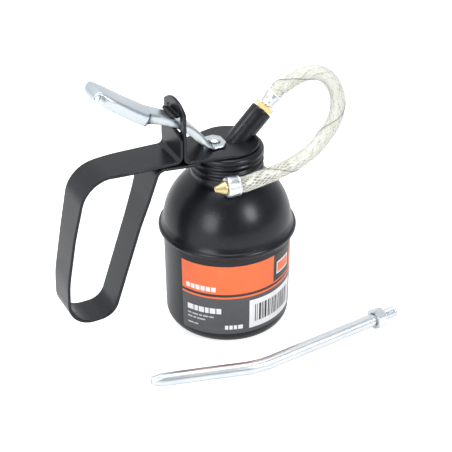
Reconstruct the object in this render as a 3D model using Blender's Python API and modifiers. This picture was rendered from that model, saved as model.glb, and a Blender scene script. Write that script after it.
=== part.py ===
"""Hand pump oil can: a screw-topped steel reservoir with a thumb lever pump, a loop handle,
a fixed spout with a flexible nozzle hose, and a spare rigid spout that lies beside it.

Axes: +Z is the reservoir's axis, z = 0 is the surface it stands on, the handle is towards -X
and the spout leans towards +X. All sizes are written in millimetres times mm.
"""
import math

import bmesh
import bpy
from mathutils import Matrix, Vector

mm = 0.001
CLEAR = 0.3 * mm            # gap kept between pieces that seat on one another
MERGE = 0.00001             # merge distance of Screw, Mirror and Weld

# Reservoir: drawn cup and dome, joined by the rolled bead
SHEET = 0.8 * mm
CUP_FOOT_RADIUS = 31.2 * mm
CUP_RIM_RADIUS = 31.9 * mm
CUP_CORNER = 7.3 * mm
CUP_RIM_Z = 54.7 * mm
DOME_RADIUS = 32.1 * mm
DOME_CENTRE_Z = 56.0 * mm
BEAD_RADIUS = 34.4 * mm
BEAD_Z = 54.1 * mm
BEAD_ROUND = 1.8 * mm
DOME_LIP_Z = 51.9 * mm

# Rolled thread of the neck and the cap
THREAD_PITCH = 3.5 * mm
THREAD_DEPTH = 1.0 * mm
THREAD_GAP = 0.4 * mm       # radial clearance between the two threads
CAP_CREST = 17.9 * mm
CAP_SHEET = 0.6 * mm
CAP_TOP_Z = 98.2 * mm
CAP_CORNER = 2.0 * mm
CAP_SKIRT_Z = CAP_TOP_Z - 14.0 * mm
NECK_CREST = CAP_CREST - CAP_SHEET - THREAD_GAP
NECK_SHEET = 0.6 * mm
GASKET_THICK = 1.3 * mm
GASKET_Z = CAP_TOP_Z - CAP_SHEET - CLEAR - GASKET_THICK
NECK_LIP_Z = GASKET_Z - CLEAR
NECK_THREAD_Z = CAP_SKIRT_Z - 0.2 * mm
THREAD_RUNOUT = 1.2 * mm
THREAD_STEPS = 36
ROWS_PER_PITCH = 5

# Bracket strap on the cap, with its disc, upright tab and lever window
STRAP = 1.5 * mm
DISC_RADIUS = 15.5 * mm
DISC_TOP_Z = CAP_TOP_Z + CLEAR + STRAP
BRACKET_HALF = 11.0 * mm
TAB_FACE_X = -28.1 * mm     # face of the tall tab towards the handle
TAB_SHOULDER = 24.7 * mm     # heights above the disc's top face
TAB_TOP = 29.2 * mm
BRACKET_BEND = 3.0 * mm
WINDOW_HALF = 8.4 * mm
WINDOW_LOW = 13.0 * mm
WINDOW_HIGH = 24.0 * mm
WINDOW_NOTCH = 1.6 * mm     # relief cut at each upper corner, beside the lip
LIP_HALF = 5.4 * mm
LIP_REACH = 2.7 * mm

# Loop handle: one strip of the same sheet, waisted where the hand holds it
HANDLE_HALF = 10.8 * mm
GRIP_HALF = 8.5 * mm
FRONT_TAB_SHOULDER = 11.7 * mm
FRONT_TAB_TOP = 15.2 * mm
HANDLE_RISE = 1.1 * mm      # of the hand's top run above the disc
HANDLE_END_X = -18.7 * mm

# Lever: pressed channel
LEVER_SHEET = 1.2 * mm
LEVER_ROUND = 1.8 * mm
LEVER_FLANGE = 5.6 * mm     # from the top face to the flange's edge
PADDLE_HALF = 9.2 * mm
NECK_HALF = 5.8 * mm
FOOT_HALF = 6.4 * mm
FOOT_END_X = -2.3 * mm
FOOT_TOP_Z = DISC_TOP_Z + CLEAR + LEVER_SHEET
SLOT_WIDTH = 3.9 * mm

# Pump under the cap
ROD_X = -6.7 * mm
ROD_RADIUS = 1.5 * mm
ROD_HEAD_RADIUS = 3.2 * mm
ROD_HEAD_HEIGHT = 2.1 * mm
ROD_CLEAR = 0.25 * mm
BARREL_RADIUS = 5.5 * mm
BARREL_BORE = 4.7 * mm
BARREL_LOW_Z = 40.0 * mm
HEAD_TOP_Z = CAP_TOP_Z - CAP_SHEET - CLEAR
SOCKET_TOP_Z = HEAD_TOP_Z - 3.3 * mm
SOCKET_DEPTH = 4.0 * mm
SOCKET_WALL = 1.3 * mm
PORT_Z = SOCKET_TOP_Z - 3.0 * mm
HEAD_LOW_Z = PORT_Z - 3.0 * mm
OUTLET_X = 6.0 * mm
OUTLET_BOSS = 4.8 * mm
CHAMBER_RADIUS = 2.5 * mm
PORT_RADIUS = 1.1 * mm
COLLAR_RADIUS = 3.6 * mm
SPIGOT_RADIUS = 3.3 * mm
PISTON_RADIUS = 4.35 * mm
PISTON_LOW_Z = 44.0 * mm
PISTON_LENGTH = 10.0 * mm
SEAT_THICK = 1.6 * mm
SEAT_BORE = 1.2 * mm
BALL_RADIUS = 2.0 * mm
SPRING_WIRE = 0.45 * mm
SPRING_MEAN = 3.55 * mm
SPRING_TURNS = 10

# Spout, hose and nozzle
SPOUT_BASE_X = 6.8 * mm
SPOUT_TILT = math.radians(45.0)
SPOUT_RADIUS = 5.5 * mm
SPOUT_BORE = 3.5 * mm
SPOUT_LENGTH = 17.1 * mm    # along the axis, from the disc to the end face
SPOUT_CHAMFER = 0.8 * mm
UNION_FLATS = 9.2 * mm
UNION_THICK = 2.4 * mm
FERRULE_LENGTH = 6.2 * mm
HOSE_RADIUS = 4.1 * mm
NOZZLE_FERRULE_RADIUS = 4.9 * mm
NOZZLE_FERRULE_LENGTH = 6.8 * mm
NOZZLE_LENGTH = 6.0 * mm
NOZZLE_BASE = 3.1 * mm
NOZZLE_TIP = 1.3 * mm
NOZZLE_HOLE = 0.6 * mm

# Spare rigid spout
SPARE_RADIUS = 3.3 * mm
SPARE_BORE = 2.4 * mm
SPARE_NUT_FLATS = 10.0 * mm
SPARE_NUT_THICK = 4.8 * mm
SPARE_STUB_RADIUS = 2.7 * mm
SPARE_BEND = 45.0 * mm

BLACK = (0.012, 0.012, 0.014)
ZINC = (0.62, 0.64, 0.66)
BRASS = (0.72, 0.50, 0.20)
STEEL = (0.45, 0.46, 0.48)
RUBBER = (0.02, 0.02, 0.02)
BRONZE = (0.50, 0.36, 0.20)
CLEAR_HOSE = (0.78, 0.76, 0.66)


# ---------------------------------------------------------------- scene and materials

def clear_scene():
    for old in list(bpy.data.objects):
        bpy.data.objects.remove(old)


def new_collection(name):
    made = bpy.data.collections.new(name)
    bpy.context.scene.collection.children.link(made)
    return made


def material(name, colour, metallic, roughness):
    made = bpy.data.materials.get(name) or bpy.data.materials.new(name)
    made.use_nodes = True
    shader = made.node_tree.nodes["Principled BSDF"]
    shader.inputs["Base Color"].default_value = (*colour, 1.0)
    shader.inputs["Metallic"].default_value = metallic
    shader.inputs["Roughness"].default_value = roughness
    return made


def black_paint():
    return material("black_paint", BLACK, 0.0, 0.28)


def zinc_plate():
    return material("zinc_plate", ZINC, 1.0, 0.32)


def brass():
    return material("brass", BRASS, 1.0, 0.25)


def steel():
    return material("bright_steel", STEEL, 1.0, 0.25)


def rubber():
    return material("rubber", RUBBER, 0.0, 0.6)


def bronze():
    return material("sintered_bronze", BRONZE, 1.0, 0.4)


def hose_vinyl():
    return material("hose_vinyl", CLEAR_HOSE, 0.0, 0.2)


def add_object(name, mesh, finish, smooth=True):
    made = bpy.data.objects.new(name, mesh)
    parts.objects.link(made)
    if finish is not None:
        mesh.materials.clear()
        mesh.materials.append(finish)
    if smooth:
        mesh.shade_smooth()
        mesh.set_sharp_from_angle(angle=math.radians(35))
    return made


def hold_as_cutter(obj):
    """Move an object to the cutters, out of the render."""
    for owner in list(obj.users_collection):
        owner.objects.unlink(obj)
    cutters.objects.link(obj)
    obj.hide_render = True
    obj.display_type = "WIRE"
    return obj


def frozen(obj):
    """Turn a curve or a modified mesh into a plain mesh with the same name and place."""
    name = obj.name
    graph = bpy.context.evaluated_depsgraph_get()
    mesh = bpy.data.meshes.new_from_object(obj.evaluated_get(graph))
    work = bmesh.new()
    work.from_mesh(mesh)
    bmesh.ops.remove_doubles(work, verts=work.verts, dist=MERGE)
    work.to_mesh(mesh)
    work.free()
    place = obj.matrix_world.copy()
    bpy.data.objects.remove(obj)
    made = bpy.data.objects.new(name, mesh)
    made.matrix_world = place
    parts.objects.link(made)
    return made


# ---------------------------------------------------------------- shapes

def arc(centre, radius, start, end, count):
    """Points of an arc, angles in degrees, from start to end."""
    points = []
    for i in range(count + 1):
        angle = math.radians(start + (end - start) * i / count)
        points.append((centre[0] + radius * math.cos(angle), centre[1] + radius * math.sin(angle)))
    return points


def profile_object(name, points, closed):
    """A line of (radius, z) points in the XZ plane, for a Screw modifier."""
    mesh = bpy.data.meshes.new(name)
    work = bmesh.new()
    line = [work.verts.new((radius, 0.0, z)) for radius, z in points]
    for first, second in zip(line, line[1:]):
        work.edges.new((first, second))
    if closed:
        work.edges.new((line[-1], line[0]))
    work.to_mesh(mesh)
    work.free()
    return mesh


def turned(name, points, finish, steps=32, closed=True):
    """A solid of revolution about its own Z; the profile runs down its outer side."""
    obj = add_object(name, profile_object(name, points, closed), finish, smooth=False)
    screw = obj.modifiers.new("Turn", "SCREW")
    screw.angle = math.tau
    screw.steps = steps
    screw.render_steps = steps
    screw.use_merge_vertices = True
    screw.merge_threshold = MERGE
    screw.use_smooth_shade = True
    return obj


def shelled(obj, thickness, offset=-1.0):
    """Give an open surface its sheet thickness, inwards unless offset says otherwise."""
    solid = obj.modifiers.new("Sheet", "SOLIDIFY")
    solid.thickness = thickness
    solid.offset = offset
    solid.use_even_offset = True
    return obj


def cylinder(name, radius, low, high, x=0.0, y=0.0, steps=24, finish=None):
    bpy.ops.mesh.primitive_cylinder_add(
        vertices=steps, radius=radius, depth=high - low, location=(x, y, (low + high) / 2))
    obj = bpy.context.active_object
    obj.name = name
    return claim(obj, finish)


def box(name, low, high, finish=None):
    bpy.ops.mesh.primitive_cube_add(size=1.0, location=[(a + b) / 2 for a, b in zip(low, high)])
    obj = bpy.context.active_object
    obj.name = name
    for vertex in obj.data.vertices:
        vertex.co = [c * (b - a) for c, a, b in zip(vertex.co, low, high)]
    return claim(obj, finish)


def claim(obj, finish):
    """Put a new primitive in the parts collection, with its material."""
    for owner in list(obj.users_collection):
        owner.objects.unlink(obj)
    parts.objects.link(obj)
    if finish is not None:
        obj.data.materials.append(finish)
    obj.data.shade_smooth()
    obj.data.set_sharp_from_angle(angle=math.radians(35))
    return obj


def boolean(obj, tool, operation="DIFFERENCE"):
    step = obj.modifiers.new(operation.title(), "BOOLEAN")
    step.operation = operation
    step.solver = "EXACT"
    step.object = hold_as_cutter(tool)
    return obj


def rolled_thread(obj, low, high, lip):
    """Press a right-hand rolled thread into a turned wall that stands at its crest radius.
    Above high the wall runs out to the crest (lip 0) or to the root (lip 1)."""
    obj = frozen(obj)
    for vertex in obj.data.vertices:
        x, y, z = vertex.co
        radius = math.hypot(x, y)
        if radius < NECK_CREST - 2 * THREAD_DEPTH or z < low:
            continue
        rise = min(1.0, (z - low) / THREAD_RUNOUT)
        fall = max(0.0, min(1.0, (high - z) / THREAD_RUNOUT))
        wave = 0.5 - 0.5 * math.cos(math.tau * z / THREAD_PITCH - math.atan2(y, x))
        drop = THREAD_DEPTH * rise * (wave * fall + lip * (1.0 - fall))
        vertex.co.x = x * (radius - drop) / radius
        vertex.co.y = y * (radius - drop) / radius
    obj.data.shade_smooth()
    return obj


def thread_rows(radius, high, low):
    """Profile points down a threaded wall, close enough to carry the thread."""
    count = math.ceil((high - low) / THREAD_PITCH * ROWS_PER_PITCH)
    return [(radius, high - (high - low) * i / count) for i in range(count + 1)]


def filleted(corners, steps=6):
    """A path of (x, z, half width) through corners (x, z, half width, bend radius)."""
    path = []
    for i, (x, z, half, bend) in enumerate(corners):
        here = Vector((x, z))
        if bend == 0.0 or i in (0, len(corners) - 1):
            path.append((x, z, half))
            continue
        back = Vector(corners[i - 1][:2]) - here
        ahead = Vector(corners[i + 1][:2]) - here
        half_turn = back.angle(ahead) / 2
        reach = bend / math.tan(half_turn)
        centre = here + (back.normalized() + ahead.normalized()).normalized() * bend / math.sin(half_turn)
        start = here + back.normalized() * reach - centre
        turn = start.angle_signed(here + ahead.normalized() * reach - centre)
        for j in range(steps + 1):
            spoke = Matrix.Rotation(-turn * j / steps, 2) @ start
            path.append((centre.x + spoke.x, centre.y + spoke.y, half))
    return path


def arched_end(x, shoulder, top, half, steps=7):
    """Stations up a tab from its shoulder to its arched top."""
    rise = top - shoulder
    radius = (half * half + rise * rise) / (2 * rise)
    spread = math.asin(half / radius)
    stations = []
    for i in range(steps):
        angle = spread * (1 - i / steps)
        stations.append((x, top - radius * (1 - math.cos(angle)), radius * math.sin(angle)))
    return stations


def strip(name, stations, section, thickness, offset, finish):
    """Sheet strip along stations (x, z, half width, flange): section gives each station's
    (y, drop) points from the middle to the edge. Mirrored in Y, then given its thickness."""
    work = bmesh.new()
    rows = []
    last = len(stations) - 1
    for i, station in enumerate(stations):
        here = Vector(station[:2])
        along = Vector(stations[min(i + 1, last)][:2]) - Vector(stations[max(i - 1, 0)][:2])
        along.normalize()
        up = Vector((-along.y, along.x))
        row = []
        for y, drop in section(*station[2:]):
            point = here - up * drop
            row.append(work.verts.new((point.x, y, point.y)))
        rows.append(row)
    for near, far in zip(rows, rows[1:]):
        for j in range(len(near) - 1):
            work.faces.new((near[j], far[j], far[j + 1], near[j + 1]))
    mesh = bpy.data.meshes.new(name)
    work.to_mesh(mesh)
    work.free()
    obj = add_object(name, mesh, finish)
    mirror = obj.modifiers.new("Both sides", "MIRROR")
    mirror.use_axis = (False, True, False)
    mirror.merge_threshold = MERGE
    return shelled(obj, thickness, offset)


def flat_section(half):
    return [(0.0, 0.0), (half, 0.0)]


def tube(name, points, radius, finish, resolution=2, closed_mesh=False):
    """A round bar along points, as a POLY curve with filled caps."""
    curve = bpy.data.curves.new(name, "CURVE")
    curve.dimensions = "3D"
    curve.bevel_depth = radius
    curve.bevel_resolution = resolution
    curve.use_fill_caps = True
    spline = curve.splines.new("POLY")
    spline.points.add(len(points) - 1)
    for place, point in zip(spline.points, points):
        place.co = (*point, 1.0)
    obj = bpy.data.objects.new(name, curve)
    parts.objects.link(obj)
    curve.materials.append(finish)
    return frozen(obj) if closed_mesh else obj


def smooth_curve(points, per_span):
    """Points read from a Catmull-Rom curve through a route."""
    route = [Vector(p) for p in points]
    route = [2 * route[0] - route[1]] + route + [2 * route[-1] - route[-2]]
    out = []
    for p0, p1, p2, p3 in zip(route, route[1:], route[2:], route[3:]):
        for i in range(per_span):
            t = i / per_span
            out.append(0.5 * (2 * p1 + (p2 - p0) * t + (2 * p0 - 5 * p1 + 4 * p2 - p3) * t * t
                              + (3 * p1 - p0 - 3 * p2 + p3) * t ** 3))
    out.append(route[-2])
    return out


def lay_along(obj, start, direction):
    """Stand a turned piece's Z axis on a point, along a direction."""
    turn = Vector((0, 0, 1)).rotation_difference(Vector(direction)).to_matrix().to_4x4()
    obj.matrix_world = Matrix.Translation(start) @ turn
    return obj


# ---------------------------------------------------------------- reservoir

def make_cup():
    points = [(CUP_RIM_RADIUS, CUP_RIM_Z), (CUP_RIM_RADIUS, DOME_LIP_Z - 3 * mm)]
    points += arc((CUP_FOOT_RADIUS - CUP_CORNER, CUP_CORNER), CUP_CORNER, 0, -90, 6)
    points.append((0.0, 0.0))
    cup = turned("reservoir_cup", points, black_paint(), steps=THREAD_STEPS, closed=False)
    return shelled(cup, SHEET)


def make_dome():
    points = thread_rows(NECK_CREST, NECK_LIP_Z, NECK_THREAD_Z)
    neck_foot = math.asin((NECK_CREST + 0.9 * mm) / DOME_RADIUS)
    points += arc((0.0, DOME_CENTRE_Z), DOME_RADIUS, 90 - math.degrees(neck_foot), 4, 6)
    bead_centre = (BEAD_RADIUS - BEAD_ROUND, BEAD_Z)
    points += arc(bead_centre, BEAD_ROUND, 75, -65, 5)
    points.append((CUP_RIM_RADIUS + CLEAR + SHEET, DOME_LIP_Z))
    dome = turned("reservoir_dome", points, black_paint(), steps=THREAD_STEPS, closed=False)
    dome = rolled_thread(dome, NECK_THREAD_Z, NECK_LIP_Z - 0.6 * mm, lip=1.0)
    return shelled(dome, NECK_SHEET)


# ---------------------------------------------------------------- cap, bracket and handle

def make_gasket():
    outer = CAP_CREST - CAP_SHEET - 2 * CLEAR
    inner = NECK_CREST - THREAD_DEPTH - NECK_SHEET - CLEAR
    low, high = GASKET_Z, GASKET_Z + GASKET_THICK
    return turned("cap_gasket", [(outer, high), (outer, low), (inner, low), (inner, high)], rubber())


def make_cap():
    points = [(0.0, CAP_TOP_Z)]
    points += arc((CAP_CREST - CAP_CORNER, CAP_TOP_Z - CAP_CORNER), CAP_CORNER, 90, 0, 4)
    thread_top = CAP_TOP_Z - CAP_CORNER - 0.4 * mm
    points += thread_rows(CAP_CREST, thread_top, CAP_SKIRT_Z + 0.6 * mm)
    points.append((CAP_CREST + 0.1 * mm, CAP_SKIRT_Z))
    cap = turned("screw_cap", points, black_paint(), steps=THREAD_STEPS, closed=False)
    cap = rolled_thread(cap, CAP_SKIRT_Z + 1.2 * mm, NECK_LIP_Z, lip=0.0)
    shelled(cap, CAP_SHEET)
    bottom = CAP_TOP_Z - 2 * CAP_SHEET
    boolean(cap, cylinder("cap_rod_hole", COLLAR_RADIUS + CLEAR, bottom, CAP_TOP_Z + CLEAR, ROD_X))
    return boolean(cap, cylinder("cap_outlet_hole", SPIGOT_RADIUS + CLEAR, bottom, CAP_TOP_Z + CLEAR, OUTLET_X))


def make_bracket():
    middle = DISC_TOP_Z - STRAP / 2
    tab_x = TAB_FACE_X + STRAP / 2
    stations = []
    for degrees in (6, 18, 32, 48, 64, 82, 100):
        angle = math.radians(degrees)
        stations.append((DISC_RADIUS * math.cos(angle), middle, DISC_RADIUS * math.sin(angle)))
    stations += filleted([
        (tab_x + 5 * mm, middle, BRACKET_HALF, 0.0),
        (tab_x, middle, BRACKET_HALF, BRACKET_BEND),
        (tab_x, DISC_TOP_Z + TAB_SHOULDER - 1 * mm, BRACKET_HALF, 0.0)])
    stations += arched_end(tab_x, DISC_TOP_Z + TAB_SHOULDER, DISC_TOP_Z + TAB_TOP, BRACKET_HALF)
    bracket = strip("top_bracket", stations, flat_section, STRAP, 0.0, black_paint())
    window_low, window_top = DISC_TOP_Z + WINDOW_LOW, DISC_TOP_Z + WINDOW_HIGH
    near, far = TAB_FACE_X - STRAP, TAB_FACE_X + 2 * STRAP
    boolean(bracket, box("lever_window", (near, -WINDOW_HALF, window_low), (far, WINDOW_HALF, window_top)))
    for name, low in (("near_notch", -LIP_HALF - WINDOW_NOTCH), ("far_notch", LIP_HALF)):
        boolean(bracket, box(name, (near, low, window_top - STRAP),
                             (far, low + WINDOW_NOTCH, window_top + WINDOW_NOTCH / 2)))
    lip = box("window_lip", (TAB_FACE_X - LIP_REACH, -LIP_HALF, window_top - STRAP),
              (TAB_FACE_X + STRAP / 2, LIP_HALF, window_top + CLEAR))
    boolean(bracket, lip, "UNION")
    top, low = DISC_TOP_Z + STRAP, DISC_TOP_Z - 2 * STRAP
    boolean(bracket, cylinder("disc_rod_hole", COLLAR_RADIUS + CLEAR, low, top, ROD_X))
    return boolean(bracket, cylinder("disc_outlet_hole", SPIGOT_RADIUS + CLEAR, low, top, OUTLET_X))


def make_handle():
    end_z = DISC_TOP_Z - STRAP - CLEAR - STRAP / 2
    top_z = DISC_TOP_Z + HANDLE_RISE
    tab_x = TAB_FACE_X - CLEAR - STRAP / 2
    shoulder, top = DISC_TOP_Z + FRONT_TAB_SHOULDER, DISC_TOP_Z + FRONT_TAB_TOP
    path = filleted([
        (HANDLE_END_X, end_z, HANDLE_HALF, 0.0),
        (-25.5 * mm, end_z, HANDLE_HALF, 12 * mm),
        (-41.0 * mm, end_z + 1.6 * mm, HANDLE_HALF, 4 * mm),
        (-46.3 * mm, 81.8 * mm, 9.4 * mm, 60 * mm),
        (-50.6 * mm, 69.8 * mm, GRIP_HALF, 60 * mm),
        (-66.2 * mm, 23.8 * mm, GRIP_HALF, 9.5 * mm),
        (-89.0 * mm, 23.3 * mm, GRIP_HALF, 12 * mm),
        (-88.3 * mm, 47.0 * mm, GRIP_HALF, 60 * mm),
        (-84.0 * mm, 71.0 * mm, GRIP_HALF, 60 * mm),
        (-77.3 * mm, top_z, 9.6 * mm, 16 * mm),
        (-58.0 * mm, top_z, HANDLE_HALF, 0.0),
        (tab_x, top_z - 0.5 * mm, HANDLE_HALF, BRACKET_BEND),
        (tab_x, shoulder - 1 * mm, HANDLE_HALF, 0.0)])
    path += arched_end(tab_x, shoulder, top, HANDLE_HALF, steps=5)
    return strip("loop_handle", path, flat_section, STRAP, 0.0, black_paint())


# ---------------------------------------------------------------- lever

def channel_section(half, flange):
    """Half of a channel with rounded shoulders, its flange turned down."""
    bend = min(LEVER_ROUND, flange)
    points = [(0.0, 0.0)]
    points += [(y, -z) for y, z in arc((half - bend, -bend), bend, 90, 0, 3)]
    points.append((half, max(flange, bend + 0.05 * mm)))
    return points


def make_lever():
    deep, none = LEVER_FLANGE, 0.7 * mm
    shape = [       # x, height above the foot, half width, flange depth
        (-69.0, 40.2, 5.4 * mm, none), (-68.3, 41.3, 6.2 * mm, none), (-67.3, 42.1, 6.6 * mm, none),
        (-66.2, 42.4, 7.0 * mm, none), (-65.6, 42.0, 7.4 * mm, 1.0 * mm), (-62.9, 40.1, 8.7 * mm, deep),
        (-60.0, 38.0, PADDLE_HALF, deep), (-55.0, 34.3, PADDLE_HALF, deep), (-50.0, 30.6, PADDLE_HALF, deep),
        (-45.6, 27.6, PADDLE_HALF, deep), (-44.3, 26.8, 8.9 * mm, deep), (-43.0, 26.1, 7.7 * mm, deep),
        (-41.8, 25.5, 6.8 * mm, 5.2 * mm), (-40.0, 24.7, NECK_HALF + 0.4 * mm, 5.0 * mm),
        (-37.0, 23.4, NECK_HALF, 4.8 * mm), (-34.0, 22.0, NECK_HALF, 4.5 * mm), (-31.0, 20.4, NECK_HALF, 4.2 * mm),
        (-28.0, 18.6, NECK_HALF, 4.0 * mm), (-25.0, 16.4, NECK_HALF, 3.8 * mm), (-22.0, 13.6, NECK_HALF, 3.6 * mm),
        (-19.0, 10.5, NECK_HALF, 3.6 * mm), (-16.0, 7.1, NECK_HALF, 3.6 * mm), (-13.4, 3.9, NECK_HALF, 3.0 * mm),
        (-11.8, 1.7, 5.9 * mm, 1.9 * mm), (-10.8, 0.5, FOOT_HALF, 1.0 * mm), (-9.8, 0.0, FOOT_HALF, none),
        (-8.8, 0.0, FOOT_HALF, none)]
    foot = FOOT_TOP_Z
    stations = [(x * mm, foot + rise * mm, half, flange) for x, rise, half, flange in shape]
    stations += [(FOOT_END_X - 2.6 * mm, foot, FOOT_HALF, none), (FOOT_END_X, foot, 3.6 * mm, none)]
    lever = strip("lever", stations, channel_section, LEVER_SHEET, -1.0, zinc_plate())
    slot = box("rod_slot", (-13.4 * mm, -SLOT_WIDTH / 2, foot - 3 * mm),
               (ROD_X, SLOT_WIDTH / 2, foot + 6 * mm))
    boolean(lever, slot)
    return boolean(lever, cylinder("rod_slot_end", SLOT_WIDTH / 2, foot - 3 * mm, foot + 3 * mm, ROD_X))


# ---------------------------------------------------------------- pump

def make_pump_head():
    top = HEAD_TOP_Z
    socket = BARREL_RADIUS + CLEAR + SOCKET_WALL
    socket_low = SOCKET_TOP_Z - SOCKET_DEPTH
    head = cylinder("pump_head", socket, socket_low, top, ROD_X, steps=32, finish=zinc_plate())
    boolean(head, cylinder("outlet_boss", OUTLET_BOSS, HEAD_LOW_Z, top, OUTLET_X), "UNION")
    boolean(head, box("head_web", (ROD_X, -OUTLET_BOSS * 0.7, socket_low),
                      (OUTLET_X, OUTLET_BOSS * 0.7, top - 0.5 * mm)), "UNION")
    boolean(head, cylinder("rod_collar", COLLAR_RADIUS, top - 1 * mm, DISC_TOP_Z, ROD_X), "UNION")
    boolean(head, cylinder("outlet_spigot", SPIGOT_RADIUS, top - 1 * mm, DISC_TOP_Z, OUTLET_X), "UNION")
    above = DISC_TOP_Z + 1 * mm
    boolean(head, cylinder("socket_bore", BARREL_RADIUS + CLEAR, socket_low - 1 * mm, SOCKET_TOP_Z, ROD_X))
    boolean(head, cylinder("packing_pocket", 2 * ROD_RADIUS + 0.3 * mm, SOCKET_TOP_Z - 1 * mm,
                           SOCKET_TOP_Z + 2 * mm, ROD_X))
    boolean(head, cylinder("rod_bore", ROD_RADIUS + ROD_CLEAR, SOCKET_TOP_Z, above, ROD_X))
    boolean(head, cylinder("valve_chamber", CHAMBER_RADIUS, HEAD_LOW_Z - 1 * mm, DISC_TOP_Z - 1.4 * mm, OUTLET_X))
    boolean(head, cylinder("outlet_bore", PORT_RADIUS + 0.4 * mm, DISC_TOP_Z - 2 * mm, above, OUTLET_X))
    return boolean(head, port_cutter("head_port"))


def port_cutter(name):
    """The drilled way from the barrel to the outlet chamber."""
    port = cylinder(name, PORT_RADIUS, 0.0, OUTLET_X - ROD_X, steps=12)
    port.rotation_euler = (0.0, math.pi / 2, 0.0)
    port.location = ((ROD_X + OUTLET_X) / 2, 0.0, PORT_Z)
    return port


def make_barrel():
    top = SOCKET_TOP_Z - CLEAR
    barrel = turned("barrel_tube", [(BARREL_RADIUS, top), (BARREL_RADIUS, BARREL_LOW_Z),
                                    (BARREL_BORE, BARREL_LOW_Z), (BARREL_BORE, top)], steel())
    barrel.location.x = ROD_X
    return boolean(barrel, port_cutter("barrel_port"))


def make_strainer():
    """Perforated cup pressed over the barrel's lower end."""
    wall = BARREL_RADIUS + CLEAR
    floor = BARREL_LOW_Z - CLEAR
    rim = BARREL_LOW_Z + 4 * mm
    thick = 0.6 * mm
    points = [(wall + thick, rim), (wall + thick, floor - thick), (0.0, floor - thick),
              (0.0, floor), (wall, floor), (wall, rim)]
    strainer = turned("intake_strainer", points, bronze(), steps=24, closed=False)
    strainer.location.x = ROD_X
    strainer = frozen(strainer)
    work = bmesh.new()
    work.from_mesh(strainer.data)
    bmesh.ops.bridge_loops(work, edges=[e for e in work.edges if e.is_boundary])
    work.to_mesh(strainer.data)
    work.free()
    strainer.data.materials.append(bronze())
    low, high = floor - 2 * thick, floor + thick
    boolean(strainer, cylinder("strainer_hole_0", 0.8 * mm, low, high, ROD_X, steps=8))
    for i in range(6):
        angle = math.tau * i / 6
        boolean(strainer, cylinder(f"strainer_hole_{i + 1}", 0.8 * mm, low, high,
                                   ROD_X + 3.2 * mm * math.cos(angle), 3.2 * mm * math.sin(angle), steps=8))
    return strainer


def make_piston():
    low, high = PISTON_LOW_Z, PISTON_LOW_Z + PISTON_LENGTH
    groove_low, groove_high = low + 6.2 * mm, low + 8.2 * mm
    groove = PISTON_RADIUS - 1.0 * mm
    points = [(0.0, high), (PISTON_RADIUS, high), (PISTON_RADIUS, groove_high), (groove, groove_high),
              (groove, groove_low), (PISTON_RADIUS, groove_low), (PISTON_RADIUS, low), (0.0, low)]
    piston = turned("pump_piston", points, brass(), steps=24, closed=False)
    piston.location.x = ROD_X
    chamber_top = low + SEAT_THICK + 2 * BALL_RADIUS + 1.0 * mm
    boolean(piston, cylinder("piston_chamber", CHAMBER_RADIUS, low - 1 * mm, chamber_top, ROD_X))
    boolean(piston, cylinder("piston_rod_hole", ROD_RADIUS + ROD_CLEAR / 2, high - 2.4 * mm, high + 1 * mm, ROD_X))
    for i in range(2):
        side = 1 - 2 * i
        boolean(piston, cylinder(f"piston_way_{i}", 0.8 * mm, chamber_top - 1 * mm, high + 1 * mm,
                                 ROD_X, side * 2.75 * mm, steps=8))
    seal = PISTON_RADIUS + 0.22 * mm
    ring = turned("piston_seal", [(seal, groove_high - 0.15 * mm), (seal, groove_low + 0.15 * mm),
                                  (groove + 0.2 * mm, groove_low + 0.15 * mm),
                                  (groove + 0.2 * mm, groove_high - 0.15 * mm)], rubber(), steps=24)
    ring.location.x = ROD_X
    return piston


def make_seat(name, x, low):
    """Screwed-in valve seat, a ring with a chamfered bore."""
    outer = CHAMBER_RADIUS - CLEAR
    high = low + SEAT_THICK
    seat = turned(name, [(outer, high), (outer, low), (SEAT_BORE, low), (SEAT_BORE, high)], brass(), steps=20)
    seat.location.x = x
    return seat


def make_ball(name, x, seat_top):
    """Check ball resting on its seat."""
    bpy.ops.mesh.primitive_uv_sphere_add(segments=16, ring_count=10, radius=BALL_RADIUS)
    ball = bpy.context.active_object
    ball.name = name
    rest = math.sqrt(BALL_RADIUS ** 2 - SEAT_BORE ** 2) + 0.08 * mm
    ball.location = (x, 0.0, seat_top + rest)
    return claim(ball, steel())


def make_plug():
    low = HEAD_LOW_Z
    plug = turned("outlet_plug", [(0.0, low + 2.0 * mm), (CHAMBER_RADIUS - CLEAR, low + 2.0 * mm),
                                  (CHAMBER_RADIUS - CLEAR, low), (0.0, low)], brass(), steps=20, closed=False)
    plug.location.x = OUTLET_X
    slot = box("plug_slot", (OUTLET_X - 3 * mm, -0.4 * mm, low - 1 * mm), (OUTLET_X + 3 * mm, 0.4 * mm, low + 0.8 * mm))
    return boolean(plug, slot)


def make_rod():
    """Rod with its domed head above the lever's foot and its lower end in the piston."""
    low = PISTON_LOW_Z + PISTON_LENGTH - 2.2 * mm
    under = FOOT_TOP_Z + CLEAR
    dome_radius = (ROD_HEAD_RADIUS ** 2 + ROD_HEAD_HEIGHT ** 2) / (2 * ROD_HEAD_HEIGHT)
    spread = math.degrees(math.asin(ROD_HEAD_RADIUS / dome_radius))
    head_top = under + 0.5 * mm + ROD_HEAD_HEIGHT
    points = arc((0.0, head_top - dome_radius), dome_radius, 90, 90 - spread, 5)
    points += [(ROD_HEAD_RADIUS, under), (ROD_RADIUS, under), (ROD_RADIUS, low), (0.0, low)]
    rod = turned("pump_rod", points, steel(), steps=24, closed=False)
    rod.location.x = ROD_X
    return rod


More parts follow.
